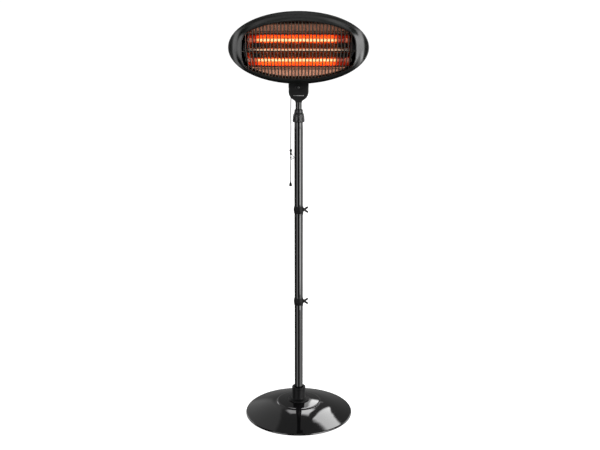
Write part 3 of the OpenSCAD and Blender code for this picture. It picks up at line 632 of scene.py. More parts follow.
# ---------------------------------------------------------------- pull cords (made first)
def cord_curve(name, route, count, body, d):
    pts = spline(route, 8)
    length = [0.0]
    for a, b in zip(pts, pts[1:]):
        length.append(length[-1] + (Vector(b) - Vector(a)).length)
    even, j = [], 0
    for i in range(count):
        s = length[-1] * i / (count - 1)
        while j < len(pts) - 2 and length[j + 1] < s:
            j += 1
        t = 0.0 if length[j + 1] == length[j] else (s - length[j]) / (length[j + 1] - length[j])
        even.append(tuple(a + (b - a) * min(1.0, t) for a, b in zip(pts[j], pts[j + 1])))
    cu = bpy.data.curves.new(name, "CURVE")
    cu.dimensions = "3D"
    sp = cu.splines.new("POLY")
    sp.points.add(count - 1)
    for p, q in zip(sp.points, even):
        p.co = (q[0] * MM, q[1] * MM, q[2] * MM, 1.0)
    cu.bevel_depth = d / 2
    cu.bevel_resolution = 3
    cu.use_fill_caps = True
    ob = bpy.data.objects.new(name, cu)
    scene.collection.objects.link(ob)
    cu.materials.append(MAT["cord"])
    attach(ob, body)
    return ob, length[-1] * MM


upper_route = [(-28, 0, 1250), (-28, 0, 1238), (-28, 0, 1230), (-28.1, 0, 1222), (-28.4, 0, 1206), (-28.6, 0, 1190), (-28.7, 0, 1172),
               (-28.6, 0, 1154), (-28.5, 0, 1136), (-28.4, 0, 1118), (-28.6, 0, 1100), (-28.8, 0, 1082), (-28.9, 0, 1064), (-29, 0, 1044)]
lower_route = [(-29, 0, 1021), (-29.1, 0, 1014), (-29.3, 0, 1006), (-29.4, 0, 996), (-29.8, 0, 984), (-30, 0, 968), (-30.2, 0, 950),
               (-30.2, 0, 936), (-30.2, 0, 923)]
tail_route = [(-25.6, -4.4, 1025.6), (-24.4, -6, 1023.8), (-21.8, -10.2, 1021.6), (-18.9, -15.4, 1018.6), (-17.6, -17.8, 1014.4), (-18.9, -16.2, 1010.4),
              (-22, -11.2, 1008.4), (-25, -6.6, 1007.6), (-26.4, -4.4, 1005.8)]

cord_up, len_up = cord_curve("pull_cord_upper_fine", upper_route, 32, "pull_switch", 0.003)
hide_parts("pull_cord_upper")
cord_low, len_low = cord_curve("pull_cord_lower_fine", lower_route, 24, "pull_switch", 0.003)
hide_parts("pull_cord_lower")
cord_tail, len_tail = cord_curve("cord_tail_fine", tail_route, 24, "pull_switch", 0.0022)
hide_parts("cord_tail")

# connector: a two-part clip with a waist and moulded ridges
connector = build("cord_connector_fine", lathe(spline([(1.6, 1021), (2.5, 1021.2), (3.4, 1022.6), (3.65, 1025.5), (3.55, 1028.6), (2.85, 1030.6),
                                                      (2.8, 1032.8), (3.7, 1034.2), (4.4, 1036), (4.7, 1038), (4.2, 1040.8), (2.9, 1043), (1.6, 1044)], 3),
                                              40, at=(-29, 0, 0), radius=lambda t, r, z: r * (1 + 0.035 * math.cos(8 * t)) if z > 1034 or z < 1029 else r))
piece(connector, "cord_black", "pull_switch", ["cord_connector"])

knob = build("pull_knob_fine", lathe([(0, 904.6), (1.6, 904.5), (2.6, 904.4), (3.3, 904.5)] + spline([(3.9, 904.8), (4.9, 906), (5.45, 908.2), (5.2, 911.2), (4.3, 914.2),
                                     (3.2, 917.2), (2.4, 920), (1.9, 922.4), (1.75, 923)], 4) + [(1.2, 923), (1.15, 921), (0, 920.8)], 56, at=(-30.2, 0, 0)))
piece(knob, "cord_black", "pull_switch", ["pull_knob"])

# overhand knot: one strand wound through itself
knot_path = []
for i in range(91):
    t = TAU * i / 90
    knot_path.append((-29.15 + 0.74 * (math.sin(t) + 2 * math.sin(2 * t)), 0.74 * (math.cos(t) - 2 * math.cos(2 * t)), 1012 + 3.4 * -math.sin(3 * t) * 0.55 + 1.7 * math.sin(t)))
knot = build("cord_knot_fine", tube(knot_path[:-1] + [knot_path[0]], 1.15, 10))
piece(knot, "cord", "pull_switch", ["cord_knot"])

# ---------------------------------------------------------------- base
dome = spline([(205.8, 9), (194, 13.2), (176, 19.6), (156, 26.6), (132, 34.6), (108, 41.4), (90.6, 45.25)], 8)
outer = [(206.6, 1.9), (207.5, 2.2), (208, 2.9), (208, 5.6), (207.6, 7.0), (206.8, 8.2)] + dome
step = spline([(90, 45.4), (87.6, 45.9), (86, 46.6), (84.6, 47.8), (83, 48.8), (80.6, 49.5), (78, 50)], 3)
top = [(70, 51.1), (60, 52.4), (52, 53.3), (46, 53.9), (44, 54), (40, 54), (7, 54)]
inner = [(7, 52.4), (44, 52.4), (60, 50.8), (78, 48.4), (83, 47.2), (90, 43.8), (108, 39.8), (132, 33), (156, 25), (176, 18), (194, 11.8), (204.6, 8.0), (206.2, 6.6), (206.4, 5.0)]
base = build("base_cover_fine", lathe(outer + step + top + inner, 256, closed=True), 40)
piece(base, "gloss_black", "stand", ["base_cover"])

socket = build("pole_socket_fine", lathe([(5.3, 54), (40.0, 54), (40.5, 54.5), (40.5, 57.0), (40.1, 57.9), (38.5, 58.9), (36.0, 59.2)]
                                         + spline([(34, 59.3), (30.4, 59.9), (28.2, 61.2), (26.9, 62.8), (26.3, 65), (26.0, 70)], 4)
                                         + [(25.5, 97.6), (25.5, 98.6), (25.9, 99.3), (26.2, 100), (26.2, 106.6), (25.9, 107.5), (25.2, 108), (19.6, 108), (19.1, 107.6),
                                            (16.4, 100.6), (16.08, 100), (16.08, 65), (5.3, 65)], 128, closed=True), 35)
piece(socket, "clamp_black", "stand", ["pole_socket"])

feet = Kit()
for i in range(6):
    a = math.radians(60 * i + 30)
    cx, cy = 155 * math.cos(a), 155 * math.sin(a)
    feet.add(lathe([(0, 0.9), (8.4, 0.9), (8.8, 0.6), (9.2, 0.0), (12.6, 0.0), (13.6, 0.5), (14.0, 1.4), (13.8, 3.2), (13.2, 4.6), (12.4, 5.0), (3.9, 5.0), (3.9, 8.6), (3.5, 9.0), (0, 9.0)],
                   48, at=(cx, cy, 0)))
piece(build("rubber_feet_fine", feet), "rubber", "stand", ["rubber_feet"])

# ---------------------------------------------------------------- pole and mast


def pipe(name, r, ri, z0, z1, body, node, mat="pole_black", spigot=None):
    prof = [(ri + 0.3, z1), (r - 0.5, z1), (r - 0.15, z1 - 0.15), (r, z1 - 0.5)]
    n = 12
    prof += [(r, z1 - 0.5 - (z1 - z0 - 1.0) * i / n) for i in range(1, n)]
    prof += [(r, z0 + 0.5), (r - 0.15, z0 + 0.15), (r - 0.5, z0)]
    if spigot:
        sr, sl, sri = spigot
        prof += [(sr, z0), (sr, z0 - sl + 1.0), (sr - 0.6, z0 - sl), (sri, z0 - sl), (sri, z0 + 2), (ri, z0 + 3)]
    else:
        prof += [(ri + 0.3, z0), (ri, z0 + 0.3)]
    prof += [(ri, z1 - 0.3)]
    ob = build(name, lathe(prof, 112, closed=True), 40)
    return piece(ob, mat, body, [node])


pipe("lower_tube_fine", 16, 14.8, 65, 458, "stand", "lower_tube")
pipe("middle_tube_fine", 16, 14.8, 458, 816, "stand", "middle_tube", spigot=(14.7, 45, 13.6))
pipe("upper_tube_fine", 16, 14.8, 816, 1144, "stand", "upper_tube", spigot=(14.7, 45, 13.6))
pipe("mast_tube_fine", 11.5, 10.2, 664, 1252, "mast", "mast_tube")

# clamps: a barrel round the joint, a boss for the wing screw and a pinch lug under it


def clamp(name, z, node):
    k = Kit()
    outline = spline([(17.0, -14), (17.25, -12), (18.0, -8.6), (18.5, -4), (18.6, 0), (18.5, 4), (18.0, 8.6), (17.3, 11.6), (16.9, 12.5)], 4)
    ring = [(16.05, z - 13.6), (16.35, z - 14.0)] + [(r, z + h) for r, h in outline] + [(16.35, z + 12.5), (16.05, z + 12.1)]
    # moulded band round the middle
    ring = [(r + (0.35 if abs(q - z) < 2.6 and r > 17 else 0.0), q) for r, q in ring]
    k.add(lathe(ring, 112, closed=True))
    k.add(turn_x([(3.05, 0), (6.6, 0), (7.4, 1.4), (7.0, 3.0), (6.9, 6.4), (6.6, 6.9), (6.0, 7.2), (3.4, 7.2), (3.05, 6.9)], 15.3, 0, z, 48))
    lug = [(12.4, -19), (16.4, -19), (17.2, -18.2), (17.3, -12), (17.6, -9), (12.4, -9)]
    k.add(loft([[(x, y, z + h) for x, h in (inset(lug, d) if d else lug)] for y, d in ((-4, 0.7), (-3.3, 0), (3.3, 0), (4, 0.7))]))
    ob = build(name, k, 34)
    return piece(ob, "clamp_black", "stand", [node])


clamp("lower_clamp_fine", 458, "lower_clamp")
clamp("upper_clamp_fine", 816, "upper_clamp")


def wing(name, z, body, node):
    k = Kit()
    k.add(turn_x([(0, 0), (2.4, 0), (3.0, 0.6), (3.0, 6.5), (0, 6.5)], 16.4, 0, z, 32))
    k.add(turn_x([(0, 0), (4.6, 0), (5.0, 0.4), (5.0, 2.6), (4.7, 3.5), (3.6, 4.1), (1.8, 4.35), (0, 4.4)], 22.9, 0, z, 40))
    for s in (-1, 1):
        ear = [(23.1, s * 0.7), (23.2, s * 5.2), (25.4, s * 8.0), (28.4, s * 10.0), (31.4, s * 11.3), (34.0, s * 11.9), (35.7, s * 11.1), (36.2, s * 9.0),
               (35.5, s * 6.9), (33.4, s * 5.1), (31.0, s * 3.6), (29.0, s * 2.1), (27.4, s * 0.7)]
        line = spline(ear, 3, closed=True)
        if s > 0:
            line = line[::-1]
        rings = []
        for y, d in ((-3.4, 0.9), (-3.1, 0.35), (-2.3, 0.0), (2.3, 0.0), (3.1, 0.35), (3.4, 0.9)):
            rings.append([(x, y, z + h) for x, h in inset(line, d)])
        k.add(loft(rings))
    ob = build(name, k, 40)
    return piece(ob, "clamp_black", body, [node])


wing("lower_wing_screw_fine", 458, "lower_wing", "lower_wing_screw")
wing("upper_wing_screw_fine", 816, "upper_wing", "upper_wing_screw")

# twist-lock collar with sixteen finger flutes


def flutes(t, r, z):
    if not 1144.8 < z < 1167.2 or r < 18:
        return r
    fade = min(1.0, (z - 1144.8) / 1.6, (1167.2 - z) / 2.4)
    c = math.cos(16 * (t - TAU / 32 + math.pi / 16))
    return r - 0.95 * fade * max(0.0, -c) ** 0.7


collar_out = [(16.3, 1142.5), (19.9, 1142.5), (20.6, 1142.7), (21.2, 1143.7), (21.8, 1145.4), (21.85, 1146.5), (21.8, 1149), (21.7, 1152), (21.6, 1155),
              (21.3, 1159), (21.0, 1162.4), (20.5, 1165.6), (20.1, 1168), (19.7, 1169.6), (19.4, 1171.0), (18.6, 1172.6), (17.5, 1174.4), (16.9, 1175.7), (16.5, 1177.4),
              (16.0, 1181), (15.6, 1184.2), (15.0, 1186.8), (14.3, 1188.4), (13.2, 1189.4), (12.2, 1189.5), (12.0, 1189.1)]
collar_in = [(12.0, 1184.6), (13.3, 1182), (15.0, 1173), (15.05, 1168), (15.05, 1147.6), (16.3, 1147.4)]
collar = build("lock_collar_fine", lathe(collar_out + collar_in, 192, closed=True, radius=flutes), 40)
piece(collar, "black_plastic", "twist_lock", ["lock_collar"])

# ---------------------------------------------------------------- neck housing
half = [(12.4, 1214), (12.6, 1219), (16.5, 1221.4), (22, 1225.2), (27, 1229.4), (31, 1234.4), (34, 1240.4), (35.8, 1246.6), (36.5, 1253), (36.5, 1266), (36.5, 1276.4), (36.1, 1278), (34.8, 1279)]
dense = [half[0], half[1]] + spline(half[2:9], 4) + half[9:]
neck_line = [(x, z) for x, z in dense] + [(-x, z) for x, z in dense[::-1]]   # anticlockwise seen from +Y side after the flip below


def neck_shell(name, s):
    line = neck_line
    area = sum(a[0] * b[1] - b[0] * a[1] for a, b in zip(line, line[1:] + line[:1]))
    if area < 0:
        line = line[::-1]
    steps = ((0.05, 0.45), (0.5, 0.0), (16.8, 0.0), (18.0, 0.3), (18.9, 0.85), (19.5, 1.6), (19.85, 2.6), (20.0, 3.8))
    ob = build(name, loft([[(x, s * y, z) for x, z in (inset(line, d) if d else line)] for y, d in steps]), 38)
    # lug that the ears of the yoke hold
    arc = [(-0.05, 1274.5), (-10.5, 1274.5), (-10.5, 1292)] + [(-10.5 * math.cos(math.radians(a)), 1292 + 10.5 * math.sin(math.radians(a))) for a in range(10, 90, 10)] + [(-0.05, 1302.5)]
    lug = build(name + "_lug", loft([[(x, s * -y, z) for y, z in (inset([(-p[0], p[1]) for p in arc], d) if d else [(-p[0], p[1]) for p in arc])] if False else
                                     [(x, -s * y, z) for y, z in arc] for x in (-25.4, 25.4)]))
    boolean(ob, lug, "UNION", 38)
    # the front wall stands a little higher, clear of the swing of the ears
    if s < 0:
        line = [(-36.45, 1276), (36.45, 1276), (36.45, 1282.2), (35.6, 1283.2), (-35.6, 1283.2), (-36.45, 1282.2)]
        wall = build(name + "_wall", loft([[(x, y, z) for x, z in (inset(line, d) if d else line)]
                                           for y, d in ((-12.7, 0.0), (-17.4, 0.0), (-18.6, 0.3), (-19.2, 1.0))]))
        boolean(ob, wall, "UNION", 38)
    # cheeks outside the ears of the yoke
    for x0, x1 in ((-36.45, -29.2), (29.2, 34.4)):
        line = [(x0, 1276), (x1, 1276), (x1, 1282.4), (x1 - 0.7, 1283.2), (x0 + 0.7, 1283.2), (x0, 1282.4)]
        cheek = build(name + "_cheek", loft([[(x, s * y, z) for x, z in (inset(line, d) if d else line)]
                                             for y, d in ((0.05, 0.0), (17.4, 0.0), (18.6, 0.3), (19.2, 1.0))]))
        boolean(ob, cheek, "UNION", 38)
    # bore of the mast and of the pivot bush
    boolean(ob, build("bore_a", lathe([(0, 1200), (11.52, 1200), (11.52, 1252), (0, 1252)], 64)), sharp=38)
    boolean(ob, build("bore_b", turn_x([(0, 0), (7.02, 0), (7.02, 60), (0, 60)], -30, 0, 1292, 48)), sharp=38)
    boolean(ob, build("bore_c", lathe([(0, 1205), (3.25, 1205), (3.25, 1262), (0, 1262)], 32, at=(-28, 0, 0))), sharp=38)
    return ob


front = neck_shell("neck_front_fine", -1)
recess = build("recess", loft([[(a * math.cos(TAU * i / 64), y, 1267 + b * math.sin(TAU * i / 64)) for i in range(64)]
                               for y, a, b in ((-21.0, 14.0, 8.6), (-20.0, 13.0, 7.6), (-19.4, 12.2, 6.8), (-17.0, 11.5, 6.1), (-16.8, 10.9, 5.5))]))
boolean(front, recess, sharp=38)
seat = build("seat", block(-19.6, 19.6, -21, -19.15, 1236.5, 1240.5))
boolean(front, seat, sharp=38)
piece(even_light(front), "neck_plastic", "mast", ["neck_front"])
rear = neck_shell("neck_rear_fine", 1)
piece(even_light(rear), "neck_plastic", "mast", ["neck_rear"])

def slope(x):
    pts = sorted((q, z) for q, z in dense if q > 16)
    q = abs(x)
    for (a, b), (c, d) in zip(pts, pts[1:]):
        if a <= q <= c:
            return b + (d - b) * (q - a) / max(1e-6, c - a)
    return pts[0][1]


g_rings = []
for r, lift in ((2.3, 0.6), (2.5, -0.1), (2.9, -0.3), (3.2, 0.3), (3.2, None), (2.3, None)):
    ring = []
    for i in range(40):
        t = TAU * i / 40
        x = -28 + r * math.cos(t)
        ring.append((x, r * math.sin(t), 1239.0 if lift is None else slope(x) + lift))
    g_rings.append(ring)
grommet = build("cord_grommet_fine", loft(g_rings, closed=True), 40)
piece(grommet, "black_plastic", "mast", ["cord_grommet"])

bar_line = [(-18.4, 1237.2), (18.4, 1237.2), (18.8, 1237.6), (18.8, 1239.4), (18.4, 1239.8), (-18.4, 1239.8), (-18.8, 1239.4), (-18.8, 1237.6)]
k = Kit()
k.add(loft([[(x, y, z) for x, z in (inset(bar_line, d) if d else bar_line)] for y, d in ((-19.2, 0), (-19.62, 0), (-19.7, 0.12))]))
for cx in (-12.4, 0.0, 12.4):
    rings = []
    for y, q in ((-19.4, 1.0), (-19.85, 1.0), (-20.1, 0.86), (-20.19, 0.6)):
        rings.append([(cx + 5.4 * q * math.copysign(abs(math.cos(TAU * i / 32)) ** 0.55, math.cos(TAU * i / 32)), y,
                       1238.5 + 1.65 * q * math.copysign(abs(math.sin(TAU * i / 32)) ** 0.55, math.sin(TAU * i / 32))) for i in range(32)])
    k.add(loft(rings))
bar = build("badge_bar_fine", k)
piece(bar, "pale_metal", "mast", ["badge_bar"])


def screws(name, places, y, h, r, shank, mat, body, node):
    """Cross-slot pan heads with their shanks; h points outwards, shank is (radius, signed length)."""
    bm = bmesh.new()
    c, w = r * 0.62, r * 0.13
    plus = [(-c, -w), (-w, -w), (-w, -c), (w, -c), (w, -w), (c, -w), (c, w), (w, w), (w, c), (-w, c), (-w, w), (-c, w)]
    for x, z in places:
        prof = [(0, shank[1] * 1.04), (shank[0] * 0.7, shank[1] * 1.04), (shank[0], shank[1]), (shank[0], 0.0), (r * 0.97, 0.0), (r, h * 0.12), (r, h * 0.4),
                (r * 0.93, h * 0.72), (r * 0.7, h * 0.93), (r * 0.3, h), (0, h)]
        one = build(name + "_one", turn_y(prof, x, y, z, 40))
        boolean(one, build("slot_cut", prism([(x + u, z + v) for u, v in plus], y + h * 0.45, y + h * 1.4)))
        bm.from_mesh(one.data)
        me = one.data
        bpy.data.objects.remove(one, do_unlink=True)
        bpy.data.meshes.remove(me)
    me = bpy.data.meshes.new(name)
    mark(bm, 32)
    bm.to_mesh(me)
    bm.free()
    ob = bpy.data.objects.new(name, me)
    scene.collection.objects.link(ob)
    return piece(ob, mat, body, [node])


screws("recess_screw_fine", [(0, 1267)], -16.95, -1.95, 4.0, (2.1, 7.0), "screw_dim", "mast", "recess_screw")
screws("neck_screws_fine", [(-16, 1230), (16, 1230)], 20.05, 2.1, 3.6, (2.0, -26.0), "zinc_steel", "mast", "neck_screws")
screws("yoke_screws_fine", [(-24, 1378), (24, 1378), (-24, 1410), (24, 1410)], 24.65, 2.3, 4.0, (2.1, -10.0), "zinc_steel", "head", "yoke_screws")

# ---------------------------------------------------------------- tilt bracket
PIV = 1292
k = Kit()
plate = [(-34, 1354), (-32, 1352), (32, 1352), (34, 1354), (34, 1416), (32, 1418), (-32, 1418), (-34, 1416)]
k.add(loft([[(x, y, z) for x, z in (inset(plate, d) if d else plate)] for y, d in ((22.2, 0.3), (22.5, 0), (24.3, 0), (24.6, 0.3))]))
ear = [(-10.8, 1297.2), (-12, 1292), (-10.4, 1286), (-6, 1281.6), (0, 1280), (6, 1281.6), (10.4, 1286)]
ear_line = spline(ear, 4) + spline([(13.6, 1294), (22, 1318), (28, 1343)], 5) + [(28, 1366), (24.6, 1372), (22.3, 1372), (22.3, 1360)] + spline([(19.6, 1340.5), (10.2, 1324.6), (0, 1313.6), (-7.6, 1303)], 4)
area = sum(a[0] * b[1] - b[0] * a[1] for a, b in zip(ear_line, ear_line[1:] + ear_line[:1]))
if area < 0:
    ear_line = ear_line[::-1]
for s in (-1, 1):
    k.add(loft([[(s * x, y, z) for y, z in (inset(ear_line, d) if d else ear_line)] for x, d in ((26, 0.25), (26.25, 0), (28.15, 0), (28.4, 0.25))]))
yoke = build("tilt_yoke_fine", k, 38)
boolean(yoke, build("bore_d", turn_x([(0, 0), (4.05, 0), (4.05, 80), (0, 80)], -40, 0, PIV, 48)), sharp=38)
piece(even_light(yoke), "head_black", "head", ["tilt_yoke"])

k = Kit()
k.add(turn_x([(0, 0), (4.0, 0), (4.0, 70.6), (3.4, 71.8), (0, 71.8)], -31, 0, PIV, 40))
hexa = [(7.2 * math.cos(TAU * i / 6), 7.2 * math.sin(TAU * i / 6)) for i in range(6)]
k.add(loft([[(x, q * c, PIV + q * d) for c, d in hexa] for x, q in ((-36, 0.86), (-35.5, 0.97), (-35.1, 1.0), (-31.2, 1.0), (-31, 0.98))]))
piece(build("tilt_bolt_fine", k, 25), "zinc_steel", "head", ["tilt_bolt"])
k = Kit()
for x in (-30.6, 28.5):
    k.add(turn_x([(4.05, 0.2), (4.3, 0), (7.7, 0), (8, 0.3), (8, 1.7), (7.7, 2), (4.3, 2), (4.05, 1.8)], x, 0, PIV, 48) if False else
          ([(x + p[2], p[0], PIV + p[1]) for p in lathe([(4.05, 0.2), (4.3, 0), (7.7, 0), (8, 0.3), (8, 1.7), (7.7, 2), (4.3, 2), (4.05, 1.8)], 48, closed=True)[0]],
           lathe([(4.05, 0.2), (4.3, 0), (7.7, 0), (8, 0.3), (8, 1.7), (7.7, 2), (4.3, 2), (4.05, 1.8)], 48, closed=True)[1]))
piece(build("tilt_washers_fine", k, 40), "zinc_steel", "head", ["tilt_washers"])


def lobes(t, r, z):
    return r * (1 + 0.115 * math.cos(6 * t)) if r > 8 else r


prof = [(4.05, 0.2), (6.4, 0), (6.8, 0.4), (6.8, 3.9), (7.2, 4.2), (9.4, 4.4), (10.2, 5.0), (10.5, 5.8), (10.5, 12.6), (10.2, 13.9), (9.3, 14.7), (8.6, 15.0), (7.0, 15.05), (6.6, 14.7), (6.2, 14.6),
        (4.4, 14.6), (4.2, 11.2), (4.05, 11.0)]
v, f = lathe(prof, 144, closed=True, radius=lobes)
kn = build("tilt_knob_fine", ([(30.95 + p[2], p[0], PIV + p[1]) for p in v], f), 42)
piece(kn, "black_plastic", "tilt_grip", ["tilt_knob"])

# ---------------------------------------------------------------- head: bezel
HA, HB, HZ, LZ = 246.0, 124.0, 1406.0, 1398.0
OA, OB, OL, OC = 229.6, 98.2, 200.6, 1396.8
YF, YB = -97.0, -82.0
N = 216
key = [oval(HA - 1.2, HB - 1.2, YB, HZ, N), oval(HA - 0.35, HB - 0.35, YB - 0.3, HZ, N), oval(HA, HB, YB - 1.1, HZ, N), oval(HA - 0.35, HB - 0.35, YB - 1.9, HZ, N),
       oval(HA - 1.4, HB - 1.4, YB - 2.5, HZ, N)]
face = [oval(HA - 1.4, HB - 1.4, YB - 2.5, HZ, N), oval(241.6, 120.4, -86.0, HZ - 0.6, N, 240.6), oval(234, 113.8, -88.9, HZ - 2.4, N, 230), oval(232, 107, -93.3, LZ + 2.6, N, 215),
        oval(231.6, 102, -96.5, OC, N, 204.6)]
blend = []
for j in range(len(face) - 1):
    a, b, c, d = face[max(j - 1, 0)], face[j], face[j + 1], face[min(j + 2, len(face) - 1)]
    for s in range(1 if j == 0 else 0, 5):
        t = s / 5
        blend.append([tuple(0.5 * ((2 * q) + (r - p) * t + (2 * p - 5 * q + 4 * r - e) * t * t + (3 * q - p - 3 * r + e) * t ** 3) for p, q, r, e in zip(P, Q, R, E))
                      for P, Q, R, E in zip(a, b, c, d)])
lip = [oval(231.6, 102, -96.5, OC, N, 204.6), oval(230.6, 100.6, -96.95, OC, N, 202.6), oval(OA, OB, YF, OC, N, OL + 0.9), oval(OA - 0.7, OB - 0.7, YF + 0.35, OC, N, OL + 0.2),
       oval(OA - 1.0, OB - 1.0, YF + 1.3, OC, N, OL), oval(OA - 1.4, OB - 1.4, YB - 1, OC, N, OL - 0.4), oval(OA - 1.2, OB - 1.2, YB, OC, N, OL - 0.2),
       oval(OA - 0.5, OB - 0.5, YB, OC, N, OL + 0.5), oval(OA + 0.4, OB + 0.4, YF + 2.4, OC, N, OL + 1.6)]
under_side = [oval(231.2, 100.8, YF + 2.2, OC, N, 203.4), oval(233.6, 112.4, -87.6, HZ - 2.4, N, 229), oval(239.6, 118.2, -84.8, HZ - 0.8, N, 238.6), oval(HA - 2.6, HB - 2.6, YB - 1.4, HZ, N), oval(HA - 2.2, HB - 2.2, YB, HZ, N)]
bezel = build("bezel_fine", loft(key + blend + lip + under_side, closed=True), 36)
piece(bezel, "head_grey", "head", ["bezel"])

# ---------------------------------------------------------------- head: back shell
shell = [(243, 121, -81.9), (241.2, 120.2, -72), (238, 118.5, -62), (228, 112, -35), (208, 99, -10), (180, 83, 8), (150, 67, 18), (128, 54, 22)]
sm = spline(shell, 3)
T = 1.2
rings = [oval(a, b, y, HZ, 160) for a, b, y in reversed(sm)] + [oval(a - T, b - T, y - (T if a < 200 else T * 0.5 if a < 236 else 0), HZ, 160) for a, b, y in sm]
back = build("back_shell_fine", loft(rings), 30)
cut = Kit()
for s in (-1, 1):
    for i in range(-5, 6):
        z0 = HZ + s * 97 + (-10 if s > 0 else 2)
        line = [(i * 22 + 7 * (1 if q < 4 else -1) - (0.0), 0) for q in range(8)]
        r = 2.6
        oval_slot = []
        for q in range(9):
            a = math.radians(-90 + 22.5 * q)
            oval_slot.append((i * 22 + 4.4 + r * math.cos(a), r * math.sin(a)))
        for q in range(9):
            a = math.radians(90 + 22.5 * q)
            oval_slot.append((i * 22 - 4.4 + r * math.cos(a), r * math.sin(a)))
        # slots are cut straight in from behind
        cut.add(loft([[(x, y, z0 + 4 + h) for x, h in oval_slot] for y in (-14, 30)]))
cut.add(turn_y([(0, 0), (7.05, 0), (7.05, 30), (0, 30)], 66, 8, 1384, 40))
boolean(back, build("slots", cut), sharp=30)
piece(back, "head_black", "head", ["back_shell"])

# ---------------------------------------------------------------- head: reflector
prof = [(-71, 96), (-67.8, 86), (-64.6, 76), (-61.4, 66), (-58.6, 57.4), (-57.4, 55.6), (-55.6, 54.8), (-45, 53.6), (-34.2, 52.4), (-32, 51.6), (-31, 49.8), (-31, 38), (-31, 26), (-31, 13), (-31, 0)]
prof = prof + [(y, -z) for y, z in reversed(prof[:-1])]
cols, NX = [], 88
for i in range(NX + 1):
    x = -178 + 356 * i / NX
    lim = 107 * math.sqrt(max(0.0, 1 - (x / 218) ** 2))
    hi, lo = HZ + lim - LZ, HZ - lim - LZ
    col = []
    for y, z in prof:
        if z > 57:
            zz = 57.4 + (min(96, hi) - 57.4) * (z - 57.4) / (96 - 57.4)
            col.append((x, -58.6 - (zz - 57.4) * 12.4 / 38.6, LZ + zz))
        elif z < -57:
            zz = -57.4 + (max(-97, lo) + 57.4) * (-z - 57.4) / (96 - 57.4)
            col.append((x, -58.6 + (zz + 57.4) * 12.4 / 38.6, LZ + zz))
        else:
            col.append((x, y, LZ + z))
    cols.append(col)
V = [p for c in cols for p in c]
P = len(prof)
F = [[i * P + j, (i + 1) * P + j, (i + 1) * P + j + 1, i * P + j + 1] for i in range(NX) for j in range(P - 1)]
refl = build("reflector_fine", (V, F), 50)
mod = refl.modifiers.new("sheet", "SOLIDIFY")
mod.thickness = 0.8 * MM
mod.offset = 1.0
piece(refl, "bright_aluminium", "head", ["reflector"])

# ---------------------------------------------------------------- lamps
LY, PITCH = -51.0, 34.5


def x_ring(profile, y, z, seg=40):
    v, f = lathe(profile, seg, closed=True)
    return [(p[2], y + p[0], z + p[1]) for p in v], f


def glass(name, rows):
    k = Kit()
    for r in rows:
        k.add(x_ring([(5.0, -171.6), (5.4, -172), (5.7, -172), (6.0, -171.6)] + [(6.0, -171.6 + 343.2 * i / 12) for i in range(1, 12)]
                     + [(6.0, 171.6), (5.7, 172), (5.4, 172), (5.0, 171.6)] + [(5.0, 171.6 - 343.2 * i / 6) for i in range(1, 6)], LY, LZ + r * PITCH, 44))
    return build(name, k)


g1 = glass("quartz_tubes_lit", (-1, 1))
piece(g1, "quartz_lit", "head", ["quartz_tubes"])
g0 = glass("quartz_tube_cold", (0,))
piece(g0, "quartz", "head", ["quartz_tubes"])


def coil(z, x1=152.0, r=3.7, pitch=2.35, wire=0.5):
    turns = int(2 * x1 / pitch)
    per = 12
    path = [(-171.5, LY, z), (-x1 - 6, LY, z), (-x1 - 2, LY, z + 0.6)]
    for i in range(turns * per + 1):
        t = i / per
        path.append((-x1 + t * pitch, LY + r * math.sin(TAU * t), z + r * math.cos(TAU * t)))
    path += [(x1 + 2, LY, z + 0.6), (x1 + 6, LY, z), (171.5, LY, z)]
    return tube(path, wire, 6)


def holders(z):
    """Thin mica stars that hold the coil off the glass."""
    k = []
    for i in range(-4, 5):
        k.append(turn_x([(0, -0.35), (4.7, -0.35), (4.75, 0), (4.7, 0.35), (0, 0.35)], i * 34, LY, z, 24))
    return k


k = Kit()
for s in (-1, 1):
    k.add(coil(LZ + s * PITCH))
hot = build("hot_filaments_fine", k, 60)
piece(hot, "filament_hot", "head", ["hot_filaments"])
k = Kit()
k.add(coil(LZ, r=3.6, wire=0.45))
for h in holders(LZ):
    k.add(h)
cold = build("cold_filament_fine", k, 60)
piece(cold, "filament_cold", "head", ["cold_filament"])

k = Kit()
for s in (-1, 1):
    for r in (-1, 0, 1):
        z = LZ + r * PITCH
        pr_ = [(6.03, 166.0), (7.2, 166.0), (7.5, 166.4), (7.5, 170.8), (7.1, 171.3), (7.1, 173.6), (7.5, 174.1), (7.5, 184.6), (7.1, 186.4), (6.2, 187.6), (5.0, 188.0), (1.6, 188.0), (1.6, 172.3), (6.03, 172.2)]
        v, f = lathe(pr_, 48, closed=True)
        k.add(([(s * p[2], LY + p[0], z + p[1]) for p in v], f))
caps = build("lamp_caps_fine", k, 34)
piece(caps, "ceramic_warm", "head", ["lamp_caps"])

k = Kit()


def tray(x0, x1, y0, y1, z0, z1, t):
    """Pressed channel, open towards the front."""
    def rr(d, y, c):
        a, b, e, g = x0 + d, x1 - d, z0 + d, z1 - d
        return [(a + c, y, e), (b - c, y, e), (b, y, e + c), (b, y, g - c), (b - c, y, g), (a + c, y, g), (a, y, g - c), (a, y, e + c)]
    return loft([rr(0.5, y1, 1.2), rr(0, y1 - 0.6, 1.2), rr(0, y0 + 0.2, 1.2), rr(0.2, y0, 1.1), rr(t - 0.2, y0, 0.8), rr(t, y0 + 0.2, 0.7), rr(t, y1 - t, 0.7)])


for q in (-1, 1):
    zc = LZ + q * 17.2
    k.add(tray(-160, -132, -47, -31.15, zc - 7.5, zc + 7.5, 1.2))
    k.add(tray(139, 173, -47, -31.15, zc - 7.5, zc + 7.5, 1.2))
sup = build("lamp_supports_fine", k, 30)
piece(sup, "dark_steel", "head", ["lamp_supports"])

# ---------------------------------------------------------------- guard: bent and welded wire
GY, GC, GA, GB, GL = -76.0, LZ + 0.6, 234.0, 103.0, 203.0
WR = 2.1


